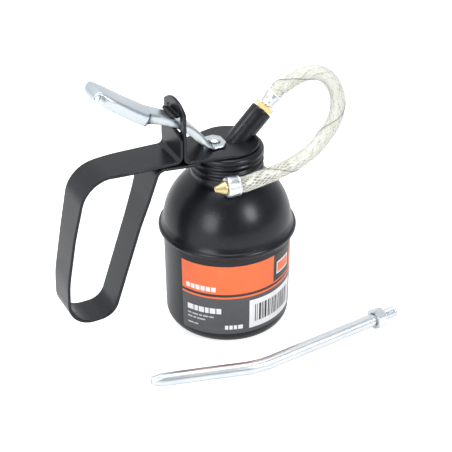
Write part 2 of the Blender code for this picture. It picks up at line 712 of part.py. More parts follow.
def make_packing():
    outer = 2 * ROD_RADIUS
    low = SOCKET_TOP_Z + 0.1 * mm
    high = SOCKET_TOP_Z + 1.7 * mm
    inner = ROD_RADIUS + 0.1 * mm
    packing = turned("rod_packing", [(outer, high), (outer, low), (inner, low), (inner, high)], rubber(), steps=24)
    packing.location.x = ROD_X
    return packing


def make_spring():
    low = PISTON_LOW_Z + PISTON_LENGTH + CLEAR + SPRING_WIRE
    high = SOCKET_TOP_Z - CLEAR - SPRING_WIRE
    per_turn = 9
    count = SPRING_TURNS * per_turn
    points = []
    for i in range(count + 1):
        angle = math.tau * i / per_turn
        points.append((ROD_X + SPRING_MEAN * math.cos(angle), SPRING_MEAN * math.sin(angle),
                       low + (high - low) * i / count))
    return tube("return_spring", points, SPRING_WIRE, steel(), resolution=1)


# ---------------------------------------------------------------- spout, hose and nozzle

SPOUT_START = Vector((SPOUT_BASE_X, 0.0, DISC_TOP_Z + CLEAR))
SPOUT_AXIS = Vector((math.cos(SPOUT_TILT), 0.0, math.sin(SPOUT_TILT)))


def make_spout():
    """Black tube with its foot cut level to stand on the disc."""
    low = -2 * SPOUT_RADIUS
    end = SPOUT_LENGTH
    points = [(SPOUT_RADIUS - SPOUT_CHAMFER, end), (SPOUT_RADIUS, end - SPOUT_CHAMFER), (SPOUT_RADIUS, low),
              (SPOUT_BORE, low), (SPOUT_BORE, end)]
    spout = turned("spout_tube", points, black_paint(), steps=28)
    lay_along(spout, SPOUT_START, SPOUT_AXIS)
    reach = 30 * mm
    below = box("spout_foot_cut", (-reach, -reach, SPOUT_START.z - reach), (reach, reach, SPOUT_START.z))
    return boolean(spout, below)


def hexagon(name, flats, low, high, finish):
    radius = flats / math.sqrt(3)
    bpy.ops.mesh.primitive_cylinder_add(vertices=6, radius=radius, depth=high - low)
    obj = bpy.context.active_object
    obj.name = name
    for vertex in obj.data.vertices:
        vertex.co.z += (low + high) / 2
    obj = claim(obj, finish)
    rim = turned(name + "_chamfer", [(radius * 0.93, high), (radius, high - radius * 0.07),
                                     (radius, low + radius * 0.07), (radius * 0.93, low)],
                 None, steps=24, closed=False)
    rim = frozen(rim)
    work = bmesh.new()
    work.from_mesh(rim.data)
    bmesh.ops.holes_fill(work, edges=[e for e in work.edges if e.is_boundary])
    work.to_mesh(rim.data)
    work.free()
    return boolean(obj, rim, "INTERSECT")


def make_union():
    """Hex union: spigot in the spout, hexagon, barb in the hose ferrule, drilled through."""
    low = SPOUT_LENGTH + CLEAR
    high = low + UNION_THICK
    union = hexagon("hose_union", UNION_FLATS, low, high, brass())
    spigot = SPOUT_BORE - CLEAR
    barb = [(2.1 * mm, high + FERRULE_LENGTH), (2.1 * mm, high - 1 * mm), (spigot, high - 1 * mm),
            (spigot, low - 5 * mm), (1.2 * mm, low - 5 * mm), (1.2 * mm, high + FERRULE_LENGTH)]
    core = turned("union_core", barb, None, steps=20)
    bore = turned("union_bore", [(0.0, high + 9 * mm), (1.2 * mm, high + 9 * mm), (1.2 * mm, low - 9 * mm),
                                 (0.0, low - 9 * mm)], None, steps=20, closed=False)
    boolean(union, bore)
    boolean(union, core, "UNION")
    for piece in (union, core, bore, bpy.data.objects["hose_union_chamfer"]):
        lay_along(piece, SPOUT_START, SPOUT_AXIS)
    return union


def make_union_ferrule():
    low = SPOUT_LENGTH + 2 * CLEAR + UNION_THICK
    high = low + FERRULE_LENGTH
    bore = 2.1 * mm + CLEAR
    points = [(HOSE_RADIUS, high), (HOSE_RADIUS, low + 4.0 * mm), (HOSE_RADIUS - 0.5 * mm, low + 2.6 * mm),
              (HOSE_RADIUS - 0.6 * mm, low + 0.3 * mm), (HOSE_RADIUS - 0.9 * mm, low),
              (bore, low), (bore, high)]
    ferrule = turned("union_ferrule", points, zinc_plate(), steps=24)
    return lay_along(ferrule, SPOUT_START, SPOUT_AXIS)


HOSE_START = SPOUT_START + SPOUT_AXIS * (SPOUT_LENGTH + 3 * CLEAR + UNION_THICK + FERRULE_LENGTH)
NOZZLE_START = Vector((-5.6, -22.7, 88.3)) * mm
NOZZLE_AXIS = Vector((-0.997, 0.03, -0.07)).normalized()
HOSE_ROUTE = [
    (30.6, -1.4, 123.6), (36.0, -4.6, 128.3), (42.4, -7.6, 130.4), (48.2, -10.4, 128.0),
    (51.7, -13.0, 122.0), (52.0, -15.4, 115.6), (49.4, -17.6, 108.6), (43.6, -19.4, 102.0),
    (35.2, -20.9, 95.9), (25.6, -21.9, 92.2), (16.0, -22.6, 90.4), (7.6, -22.9, 89.4)]


def make_hose():
    route = [HOSE_START, HOSE_START + SPOUT_AXIS * 4 * mm]
    route += [Vector(point) * mm for point in HOSE_ROUTE]
    hose_end = NOZZLE_START - NOZZLE_AXIS * CLEAR
    route += [hose_end - NOZZLE_AXIS * 4 * mm, hose_end]
    return tube("delivery_hose", smooth_curve(route, 4), HOSE_RADIUS, hose_vinyl(), resolution=3, closed_mesh=True)


def make_nozzle():
    length = NOZZLE_FERRULE_LENGTH
    outer = NOZZLE_FERRULE_RADIUS
    bore = 2.0 * mm
    points = [(NOZZLE_BASE + 0.5 * mm, length), (outer - 0.5 * mm, length - 1.3 * mm), (outer, length - 3.0 * mm),
              (outer, 0.8 * mm), (outer - 0.3 * mm, 0.0), (bore, 0.0), (bore, length)]
    ferrule = turned("nozzle_ferrule", points, zinc_plate(), steps=28)
    lay_along(ferrule, NOZZLE_START, NOZZLE_AXIS)
    low = length + CLEAR
    tip = low + NOZZLE_LENGTH
    stem = bore - CLEAR
    points = [(NOZZLE_TIP, tip), (NOZZLE_BASE, low + 0.6 * mm), (NOZZLE_BASE, low), (stem, low),
              (stem, 1.0 * mm), (NOZZLE_HOLE, 1.0 * mm), (NOZZLE_HOLE, tip)]
    nozzle = turned("nozzle_tip", points, brass(), steps=24)
    lay_along(nozzle, NOZZLE_START, NOZZLE_AXIS)
    return ferrule


# ---------------------------------------------------------------- spare rigid spout

NUT_AXIS_Z = SPARE_NUT_FLATS / 2
SPARE_TIP = Vector((-61.4 * mm, -40.1 * mm, SPARE_RADIUS))
SPARE_ELBOW = Vector((-10.1 * mm, -54.0 * mm, SPARE_RADIUS + 0.2 * mm))
SPARE_END = Vector((73.0 * mm, -46.3 * mm, NUT_AXIS_Z + 0.2 * mm))


def make_spare():
    """Bent tube with a crimped tip, an open bore and a turned-down threaded stub."""
    first = (SPARE_ELBOW - SPARE_TIP).normalized()
    second = (SPARE_END - SPARE_ELBOW).normalized()
    reach = SPARE_BEND * math.tan(first.angle(second) / 2)
    start = SPARE_ELBOW - first * reach
    stop = SPARE_ELBOW + second * reach
    bend = []
    for i in range(9):
        t = i / 8
        bend.append(start * (1 - t) ** 2 + SPARE_ELBOW * 2 * t * (1 - t) + stop * t * t)
    stub_start = SPARE_END - second * 12.5 * mm
    points = [SPARE_TIP + first * 6 * mm] + bend + [stub_start]
    spare = tube("spare_spout", points, SPARE_RADIUS, zinc_plate(), resolution=4, closed_mesh=True)
    bore = tube("spare_bore", [SPARE_TIP - first * 2 * mm] + bend + [SPARE_END + second * 2 * mm],
                1.5 * mm, zinc_plate(), resolution=2, closed_mesh=True)
    tip = turned("spare_crimp", [(0.0, 7 * mm), (SPARE_RADIUS, 7 * mm), (SPARE_RADIUS, 6 * mm),
                                 (2.3 * mm, 1.5 * mm), (2.0 * mm, 0.0), (0.0, 0.0)], None, steps=20, closed=False)
    lay_along(tip, SPARE_TIP, first)
    stub = turned("spare_stub", [(0.0, 12.5 * mm), (SPARE_STUB_RADIUS - 0.4 * mm, 12.5 * mm),
                                 (SPARE_STUB_RADIUS, 12.1 * mm), (SPARE_STUB_RADIUS, -1 * mm), (0.0, -1 * mm)],
                  None, steps=20, closed=False)
    lay_along(stub, stub_start, second)
    boolean(spare, tip, "UNION")
    boolean(spare, stub, "UNION")
    boolean(spare, bore)
    nut_low = 0.6 * mm
    nut = hexagon("spare_nut", SPARE_NUT_FLATS, nut_low, nut_low + SPARE_NUT_THICK, zinc_plate())
    hole = turned("nut_hole", [(0.0, 9 * mm), (SPARE_STUB_RADIUS + CLEAR, 9 * mm),
                               (SPARE_STUB_RADIUS + CLEAR, -3 * mm), (0.0, -3 * mm)], None, steps=20, closed=False)
    boolean(nut, hole)
    for piece in (nut, hole, bpy.data.objects["spare_nut_chamfer"]):
        lay_along(piece, stub_start, second)
        piece.matrix_world = piece.matrix_world @ Matrix.Rotation(math.radians(30), 4, "Z")
    return spare


clear_scene()
parts = new_collection("pump_oil_can")
cutters = new_collection("cutters")
make_cup()
make_dome()
make_gasket()
make_cap()
make_bracket()
make_handle()
make_lever()
make_pump_head()
make_barrel()
make_strainer()
make_piston()
make_seat("piston_seat", ROD_X, PISTON_LOW_Z)
make_ball("piston_ball", ROD_X, PISTON_LOW_Z + SEAT_THICK)
make_seat("outlet_seat", OUTLET_X, PORT_Z + 1.0 * mm)
make_ball("outlet_ball", OUTLET_X, PORT_Z + 1.0 * mm + SEAT_THICK)
make_plug()
make_rod()
make_packing()
make_spring()
make_spout()
make_union()
make_union_ferrule()
make_hose()
make_nozzle()
make_spare()
bpy.context.view_layer.update()
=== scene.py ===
import math
import random

import bmesh
import bpy
from mathutils import Matrix, Vector


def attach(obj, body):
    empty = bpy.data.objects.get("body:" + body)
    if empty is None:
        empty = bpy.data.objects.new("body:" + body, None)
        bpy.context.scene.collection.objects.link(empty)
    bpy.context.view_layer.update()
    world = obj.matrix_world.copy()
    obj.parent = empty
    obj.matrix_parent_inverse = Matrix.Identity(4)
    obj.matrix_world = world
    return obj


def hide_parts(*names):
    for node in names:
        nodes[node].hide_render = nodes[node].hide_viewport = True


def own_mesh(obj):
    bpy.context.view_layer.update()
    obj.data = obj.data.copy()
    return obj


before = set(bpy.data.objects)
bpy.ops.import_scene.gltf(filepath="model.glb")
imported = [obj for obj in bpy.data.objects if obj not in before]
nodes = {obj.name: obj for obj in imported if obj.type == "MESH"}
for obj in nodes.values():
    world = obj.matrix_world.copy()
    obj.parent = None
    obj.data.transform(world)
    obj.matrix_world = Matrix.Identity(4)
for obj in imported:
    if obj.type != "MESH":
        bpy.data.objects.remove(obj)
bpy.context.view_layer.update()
mm = 0.001
gap = 0.3       # mm, kept between pieces that seat on one another
print("frame loaded:", len(nodes), "nodes")

scene = bpy.context.scene
scene.view_settings.view_transform = "Standard"


# camera, a long lens looking down on the can from the front left
cameraView = {
    "azimuth": -27.0,       # degrees
    "elevation": 32.06,
    "distance": 0.701,
    "lookAt": (-0.0005, 0.0003, 0.0513),
    "focalPixels": 1400.0,
    "framePixels": 452.0,
}


def makeCamera(view):
    data = bpy.data.cameras.new("camera")
    data.sensor_width = 36.0
    data.lens = view["focalPixels"] / view["framePixels"] * data.sensor_width
    data.clip_start, data.clip_end = 0.01, 20.0
    camera = bpy.data.objects.new("camera", data)
    scene.collection.objects.link(camera)
    turn, lift = math.radians(view["azimuth"]), math.radians(view["elevation"])
    back = Vector((math.sin(turn) * math.cos(lift), -math.cos(turn) * math.cos(lift), math.sin(lift)))
    camera.location = Vector(view["lookAt"]) + back * view["distance"]
    camera.rotation_euler = back.to_track_quat("Z", "Y").to_euler()
    scene.camera = camera


makeCamera(cameraView)
print("camera placed")


# lines and profiles

def arcPoints(centre, radius, start, end, count):
    # points of an arc, angles in degrees
    out = []
    for i in range(count + 1):
        angle = math.radians(start + (end - start) * i / count)
        out.append((centre[0] + radius * math.cos(angle), centre[1] + radius * math.sin(angle)))
    return out


def spread(start, end, count):
    return [start + (end - start) * i / count for i in range(count + 1)]


def smoothRoute(points, perSpan):
    # Catmull-Rom curve through a route
    route = [Vector(p) for p in points]
    route = [2 * route[0] - route[1]] + route + [2 * route[-1] - route[-2]]
    out = []
    for p0, p1, p2, p3 in zip(route, route[1:], route[2:], route[3:]):
        for i in range(perSpan):
            t = i / perSpan
            out.append(0.5 * (2 * p1 + (p2 - p0) * t + (2 * p0 - 5 * p1 + 4 * p2 - p3) * t * t
                              + (3 * p1 - p0 - 3 * p2 + p3) * t ** 3))
    out.append(route[-2])
    return out


def alongRoute(points):
    # (point, side, up, distance) along a route, the frame carried without twist
    out = []
    ahead = (points[1] - points[0]).normalized()
    side = ahead.orthogonal().normalized()
    distance = 0.0
    for i, point in enumerate(points):
        if i:
            distance += (point - points[i - 1]).length
        nearby = points[min(i + 1, len(points) - 1)] - points[max(i - 1, 0)]
        turned = nearby.normalized()
        side = ahead.rotation_difference(turned) @ side
        side = (side - turned * side.dot(turned)).normalized()
        ahead = turned
        out.append((point, side, turned.cross(side), distance))
    return out


def filletPath(corners, degreesPerStep=3.0):
    # path of (x, z, half width) through corners (x, z, half width, bend radius)
    path = []
    for i, (x, z, half, bend) in enumerate(corners):
        here = Vector((x, z))
        if bend == 0.0 or i in (0, len(corners) - 1):
            path.append((x, z, half))
            continue
        back = (Vector(corners[i - 1][:2]) - here).normalized()
        ahead = (Vector(corners[i + 1][:2]) - here).normalized()
        halfTurn = back.angle(ahead) / 2
        reach = bend / math.tan(halfTurn)
        centre = here + (back + ahead).normalized() * bend / math.sin(halfTurn)
        start = here + back * reach - centre
        turn = start.angle_signed(here + ahead * reach - centre)
        count = max(2, round(abs(math.degrees(turn)) / degreesPerStep))
        for j in range(count + 1):
            spoke = Matrix.Rotation(-turn * j / count, 2) @ start
            path.append((centre.x + spoke.x, centre.y + spoke.y, half))
    return path


def dividePath(path, longest):
    # more points on the straight runs
    out = [path[0]]
    for a, b in zip(path, path[1:]):
        count = max(1, math.ceil(math.hypot(b[0] - a[0], b[1] - a[1]) / longest))
        for j in range(1, count + 1):
            out.append(tuple(p + (q - p) * j / count for p, q in zip(a, b)))
    return out


def evenHalves(path, passes):
    # ease the change of half width from one stretch to the next
    for _ in range(passes):
        halves = [p[2] for p in path]
        for i in range(1, len(path) - 1):
            path[i] = (*path[i][:2], (halves[i - 1] + 2 * halves[i] + halves[i + 1]) / 4)
    return path


# mesh helpers, sizes in mm

def meshFrom(name, bm, scale=mm):
    bmesh.ops.recalc_face_normals(bm, faces=bm.faces)
    mesh = bpy.data.meshes.new(name)
    bm.to_mesh(mesh)
    bm.free()
    mesh.transform(Matrix.Scale(scale, 4))
    return mesh


def addPiece(name, mesh, body, material, replaced=(), sharp=35):
    obj = bpy.data.objects.new(name, mesh)
    scene.collection.objects.link(obj)
    mesh.materials.clear()
    mesh.materials.append(material)
    mesh.shade_smooth()
    mesh.set_sharp_from_angle(angle=math.radians(sharp))
    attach(obj, body)
    if replaced:
        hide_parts(*replaced)
    return obj


def evenShading(obj):
    # flat faces stay flat beside their rolled edges
    weighted = obj.modifiers.new("Even shading", "WEIGHTED_NORMAL")
    weighted.keep_sharp = True
    return obj


def latheMesh(name, profile, steps=96, reshape=None):
    # closed ring of (radius, height) turned about Z
    # reshape gives a point's radius from its angle, height and radius
    bm = bmesh.new()
    rings = []
    for radius, height in profile:
        if radius < 1e-6:
            rings.append([bm.verts.new((0, 0, height))] * steps)
            continue
        ring = []
        for i in range(steps):
            angle = math.tau * i / steps
            r = reshape(angle, height, radius) if reshape else radius
            ring.append(bm.verts.new((r * math.cos(angle), r * math.sin(angle), height)))
        rings.append(ring)
    for a, b in zip(rings, rings[1:] + rings[:1]):
        for i in range(steps):
            j = (i + 1) % steps
            corners = list(dict.fromkeys((a[i], b[i], b[j], a[j])))
            if len(corners) > 2:
                bm.faces.new(corners)
    return meshFrom(name, bm)


def standAlong(mesh, start, direction, turned=0.0):
    # lay a turned mesh's Z axis along a direction, start in mm
    turn = Vector((0, 0, 1)).rotation_difference(Vector(direction)).to_matrix().to_4x4()
    about = Matrix.Rotation(math.radians(turned), 4, "Z")
    mesh.transform(Matrix.Translation(Vector(start) * mm) @ turn @ about)
    return mesh


def sweptMesh(name, line, outer, inner, steps=48):
    # tube along a line; outer and inner give the radius at a distance and an angle
    # its UV holds the distance in mm and the turns
    bm = bmesh.new()
    layer = bm.loops.layers.uv.new("UVMap")
    rails = alongRoute(line)

    def ring(rail, radiusAt):
        point, side, up, distance = rail
        made = []
        for i in range(steps):
            angle = math.tau * i / steps
            spoke = side * math.cos(angle) + up * math.sin(angle)
            made.append(bm.verts.new(point + spoke * radiusAt(distance, angle)))
        return made, distance

    rings = [ring(rail, outer) for rail in rails] + [ring(rail, inner) for rail in reversed(rails)]
    for (a, nearAt), (b, farAt) in zip(rings, rings[1:] + rings[:1]):
        for i in range(steps):
            j = (i + 1) % steps
            face = bm.faces.new((a[i], b[i], b[j], a[j]))
            around = (i / steps, i / steps, (i + 1) / steps, (i + 1) / steps)
            for loop, far, turns in zip(face.loops, (nearAt, farAt, farAt, nearAt), around):
                loop[layer].uv = (far, turns)
    return meshFrom(name, bm)


def polyCurve(name, lines, radius, material, resolution):
    # round bars along lines, both in mm
    curve = bpy.data.curves.new(name, "CURVE")
    curve.dimensions = "3D"
    curve.bevel_depth = radius * mm
    curve.bevel_resolution = resolution
    curve.use_fill_caps = True
    for line in lines:
        spline = curve.splines.new("POLY")
        spline.points.add(len(line) - 1)
        for place, point in zip(spline.points, line):
            place.co = (*(Vector(point) * mm), 1.0)
    curve.materials.append(material)
    obj = bpy.data.objects.new(name, curve)
    scene.collection.objects.link(obj)
    return obj


def flatBlank(outline, holes, thickness, rolled):
    # sheet blank: u along, v across, w through, its edges rolled over by a small radius
    curve = bpy.data.curves.new("blank", "CURVE")
    curve.dimensions = "2D"
    curve.fill_mode = "BOTH"
    curve.extrude = thickness / 2 - rolled
    curve.bevel_depth = rolled
    curve.bevel_resolution = 2
    curve.offset = -rolled
    for ring in [outline] + holes:
        spline = curve.splines.new("POLY")
        spline.points.add(len(ring) - 1)
        for place, (u, v) in zip(spline.points, ring):
            place.co = (u, v, 0.0, 1.0)
        spline.use_cyclic_u = True
    obj = bpy.data.objects.new("blank", curve)
    scene.collection.objects.link(obj)
    mesh = bpy.data.meshes.new_from_object(obj.evaluated_get(bpy.context.evaluated_depsgraph_get()))
    bpy.data.objects.remove(obj)
    return mesh


def bendBlank(name, blank, path, firstU):
    # cut the blank across at the path's points, then lay it along the path of (x, z)
    bm = bmesh.new()
    bm.from_mesh(blank)
    bmesh.ops.remove_doubles(bm, verts=bm.verts, dist=0.003)
    line = [Vector(p[:2]) for p in path]
    reach = [firstU]
    for a, b in zip(line, line[1:]):
        reach.append(reach[-1] + (b - a).length)
    for u in reach[1:-1]:
        everything = bm.verts[:] + bm.edges[:] + bm.faces[:]
        bmesh.ops.bisect_plane(bm, geom=everything, dist=0.0005, plane_co=(u, 0, 0), plane_no=(1, 0, 0))
    normals = []
    for i in range(len(line)):
        ahead = (line[min(i + 1, len(line) - 1)] - line[max(i - 1, 0)]).normalized()
        normals.append(Vector((ahead.y, -ahead.x)))
    for vertex in bm.verts:
        u, v, w = vertex.co
        i = 0
        while i < len(reach) - 2 and u > reach[i + 1]:
            i += 1
        share = (u - reach[i]) / (reach[i + 1] - reach[i])
        place = line[i].lerp(line[i + 1], share) + normals[i].lerp(normals[i + 1], share) * w
        vertex.co = (place.x, v, place.y)
    return meshFrom(name, bm)


def mirroredOutline(stations):
    # outline of a strip from its (u, half width) stations
    return [(u, half) for u, half in stations] + [(u, -half) for u, half in reversed(stations)]


def archedEnd(shoulder, top, half, count):
    # (u, half width) up an arched end
    rise = top - shoulder
    radius = (half * half + rise * rise) / (2 * rise)
    widest = math.asin(half / radius)
    out = []
    for i in range(count):
        angle = widest * (1 - i / count)
        out.append((top - radius * (1 - math.cos(angle)), radius * math.sin(angle)))
    return out


# shader groups, shared by several materials

def newGroup(name, inputs, outputs):
    group = bpy.data.node_groups.new(name, "ShaderNodeTree")
    for label, default in inputs:
        socket = group.interface.new_socket(label, in_out="INPUT", socket_type="NodeSocketFloat")
        socket.default_value = default
    for label in outputs:
        group.interface.new_socket(label, in_out="OUTPUT", socket_type="NodeSocketFloat")
    return group, group.nodes.new("NodeGroupInput"), group.nodes.new("NodeGroupOutput")


def link(tree, source, target):
    tree.links.new(source, target)


def feed(tree, given, target):
    # a number or colour goes on the socket, anything else is linked to it
    if isinstance(given, tuple):
        target.default_value = (*given, 1.0)
    elif isinstance(given, (int, float)):
        target.default_value = given
    else:
        link(tree, given, target)


def noise(tree, scale, detail=3.0, roughness=0.55):
    # object-space noise, its factor from 0 to 1
    made = tree.nodes.new("ShaderNodeTexNoise")
    made.inputs["Detail"].default_value = detail
    made.inputs["Roughness"].default_value = roughness
    link(tree, tree.nodes.new("ShaderNodeTexCoord").outputs["Object"], made.inputs["Vector"])
    feed(tree, scale, made.inputs["Scale"])
    return made.outputs["Fac"]


def mapRange(tree, value, low, high, toLow, toHigh):
    made = tree.nodes.new("ShaderNodeMapRange")
    for socket, given in (("From Min", low), ("From Max", high), ("To Min", toLow), ("To Max", toHigh)):
        feed(tree, given, made.inputs[socket])
    link(tree, value, made.inputs["Value"])
    return made.outputs["Result"]


def mottle(tree, scale, low=0.35, high=0.65):
    # slow clouds as a mask
    return mapRange(tree, noise(tree, scale), low, high, 0.0, 1.0)


def mathNode(tree, operation, first, second):
    made = tree.nodes.new("ShaderNodeMath")
    made.operation = operation
    feed(tree, first, made.inputs[0])
    feed(tree, second, made.inputs[1])
    return made.outputs[0]


def mixColor(tree, factor, first, second):
    made = tree.nodes.new("ShaderNodeMix")
    made.data_type = "RGBA"
    for socket, given in (("Factor", factor), ("A", first), ("B", second)):
        feed(tree, given, next(s for s in made.inputs if s.name == socket and s.enabled))
    return next(s for s in made.outputs if s.enabled)


def bump(tree, shader, height, strength, distance, under=None):
    # a bump feeding the shader's normal, on top of another where given
    made = tree.nodes.new("ShaderNodeBump")
    made.inputs["Strength"].default_value = strength
    made.inputs["Distance"].default_value = distance
    link(tree, height, made.inputs["Height"])
    if under:
        link(tree, under.outputs["Normal"], made.inputs["Normal"])
    link(tree, made.outputs["Normal"], shader.inputs["Normal"])
    return made


def makeOrangePeel():
    # sprayed paint: fine ripple as a height, slow change of gloss and dust specks as masks
    group, start, end = newGroup("orangePeel", [("Scale", 900.0)], ["Ripple", "Cloud", "Specks"])
    ripple = noise(group, start.outputs["Scale"], detail=2.0)
    cloud = noise(group, 55.0, detail=4.0)
    specks = noise(group, 1300.0, detail=1.0)
    link(group, ripple, end.inputs["Ripple"])
    link(group, mapRange(group, cloud, 0.3, 0.7, 0.0, 1.0), end.inputs["Cloud"])
    link(group, mapRange(group, specks, 0.74, 0.80, 0.0, 1.0), end.inputs["Specks"])
    return group


def makePlating():
    # zinc plate: slow tint change, shallow waves of the stamping, fine speckle
    scales = [("Tint Scale", 60.0), ("Wave Scale", 140.0), ("Speckle Scale", 1400.0)]
    group, start, end = newGroup("plating", scales, ["Tint", "Wave", "Speckle"])
    tint = noise(group, start.outputs["Tint Scale"], detail=3.0)
    link(group, mapRange(group, tint, 0.32, 0.68, 0.0, 1.0), end.inputs["Tint"])
    link(group, noise(group, start.outputs["Wave Scale"], detail=1.0), end.inputs["Wave"])
    speckle = noise(group, start.outputs["Speckle Scale"], detail=5.0, roughness=0.7)
    link(group, speckle, end.inputs["Speckle"])
    return group


orangePeel = makeOrangePeel()
plating = makePlating()


def useGroup(tree, group, **values):
    made = tree.nodes.new("ShaderNodeGroup")
    made.node_tree = group
    for name, value in values.items():
        made.inputs[name.replace("_", " ")].default_value = value
    return made


def newMaterial(name, baseColor, metallic, roughness):
    material = bpy.data.materials.new(name)
    material.use_nodes = True
    shader = material.node_tree.nodes["Principled BSDF"]
    shader.inputs["Base Color"].default_value = (*baseColor, 1.0)
    shader.inputs["Metallic"].default_value = metallic
    shader.inputs["Roughness"].default_value = roughness
    return material, material.node_tree, shader


paintLook = {
    "color": (0.0050, 0.0056, 0.0080),
    "dusty": (0.0080, 0.0086, 0.0110),
    "speck": (0.09, 0.09, 0.10),
    "roughLow": 0.26,
    "roughHigh": 0.34,
    "shine": 0.36,
    "shineTint": (0.94, 0.97, 1.0),
    "peelScale": 700.0,
    "peel": 0.14,
    "peelDepth": 0.05,      # mm
}


def makePaint(look):
    material, tree, shader = newMaterial("blackPaint", look["color"], 0.0, look["roughHigh"])
    shader.inputs["Specular IOR Level"].default_value = look["shine"]
    shader.inputs["Specular Tint"].default_value = (*look["shineTint"], 1.0)
    skin = useGroup(tree, orangePeel, Scale=look["peelScale"])
    tone = mixColor(tree, skin.outputs["Cloud"], look["color"], look["dusty"])
    link(tree, mixColor(tree, skin.outputs["Specks"], tone, look["speck"]), shader.inputs["Base Color"])
    rough = mapRange(tree, skin.outputs["Cloud"], 0.0, 1.0, look["roughLow"], look["roughHigh"])
    link(tree, rough, shader.inputs["Roughness"])
    bump(tree, shader, skin.outputs["Ripple"], look["peel"], look["peelDepth"] * mm)
    return material


platingSizes = {        # depths in mm
    "tintScale": 70.0,
    "waveScale": 150.0,
    "waveDepth": 0.25,
    "speckleScale": 1500.0,
    "speckleDepth": 0.04,
}
zincLook = {"cool": (0.53, 0.59, 0.65), "warm": (0.62, 0.67, 0.69), "roughLow": 0.26, "roughHigh": 0.38,
            "wave": 0.25, "speckle": 0.12}
ferruleLook = {"cool": (0.66, 0.71, 0.76), "warm": (0.75, 0.78, 0.79), "roughLow": 0.28, "roughHigh": 0.38,
               "wave": 0.04, "speckle": 0.04}


def makeZinc(name, look):
    material, tree, shader = newMaterial(name, look["cool"], 1.0, look["roughLow"])
    sizes = platingSizes
    skin = useGroup(tree, plating, Tint_Scale=sizes["tintScale"], Wave_Scale=sizes["waveScale"],
                    Speckle_Scale=sizes["speckleScale"])
    tone = mixColor(tree, skin.outputs["Tint"], look["cool"], look["warm"])
    link(tree, tone, shader.inputs["Base Color"])
    rough = mapRange(tree, skin.outputs["Speckle"], 0.3, 0.7, look["roughLow"], look["roughHigh"])
    link(tree, rough, shader.inputs["Roughness"])
    waves = bump(tree, shader, skin.outputs["Wave"], look["wave"], sizes["waveDepth"] * mm)
    depth = sizes["speckleDepth"] * mm
    bump(tree, shader, skin.outputs["Speckle"], look["speckle"], depth, under=waves)
    return material


brassLook = {"bright": (0.83, 0.68, 0.36), "dull": (0.76, 0.59, 0.28), "rough": 0.34,
             "tintScale": 220.0, "speckleScale": 2200.0, "speckle": 0.12, "depth": 0.03}
steelLook = {"bright": (0.74, 0.74, 0.75), "dull": (0.60, 0.60, 0.62), "rough": 0.16,
             "tintScale": 120.0, "speckleScale": 3000.0, "speckle": 0.05, "depth": 0.03}


def makeTurned(name, look):
    # metal turned on a lathe, without plate
    material, tree, shader = newMaterial(name, look["bright"], 1.0, look["rough"])
    skin = useGroup(tree, plating, Tint_Scale=look["tintScale"], Speckle_Scale=look["speckleScale"])
    tone = mixColor(tree, skin.outputs["Tint"], look["bright"], look["dull"])
    link(tree, tone, shader.inputs["Base Color"])
    bump(tree, shader, skin.outputs["Speckle"], look["speckle"], look["depth"] * mm)
    return material


rubberLook = {"color": (0.02, 0.02, 0.02), "metallic": 0.0, "rough": 0.6,
              "grain": 1800.0, "detail": 3.0, "strength": 0.2, "depth": 0.05}
bronzeLook = {"color": (0.5, 0.36, 0.2), "metallic": 1.0, "rough": 0.45,
              "grain": 2600.0, "detail": 5.0, "strength": 0.5, "depth": 0.12}


def makeGrainy(name, look):
    material, tree, shader = newMaterial(name, look["color"], look["metallic"], look["rough"])
    grain = noise(tree, look["grain"], detail=look["detail"])
    bump(tree, shader, grain, look["strength"], look["depth"] * mm)
    return material


paint = makePaint(paintLook)
zinc = makeZinc("zincPlate", zincLook)
# brighter copy of the zinc plate: paler plate on the ferrules, and painted light on the spare spout and its
# nut for the darker world they reflect
paleAndLitZinc = makeZinc("paleAndLitZinc", ferruleLook)
brass = makeTurned("turnedBrass", brassLook)
steel = makeTurned("groundSteel", steelLook)
rubber = makeGrainy("sealRubber", rubberLook)
bronze = makeGrainy("sinteredBronze", bronzeLook)
print("materials made")


def dress(nodeNames, material):
    for name in nodeNames:
        mesh = nodes[name].data
        mesh.materials.clear()
        mesh.materials.append(material)


# pieces inside the can keep the shape of their solids
dress(["pump_head"], zinc)
dress(["pump_piston", "piston_seat", "outlet_seat", "outlet_plug"], brass)
dress(["barrel_tube", "piston_ball", "outlet_ball", "return_spring"], steel)
dress(["cap_gasket", "rod_packing", "piston_seal"], rubber)
dress(["intake_strainer"], bronze)


def packSpring():
    spring = nodes["return_spring"]
    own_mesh(spring)


packSpring()


# delivery hose: clear vinyl over a braided pale tube, with one dark tracer thread

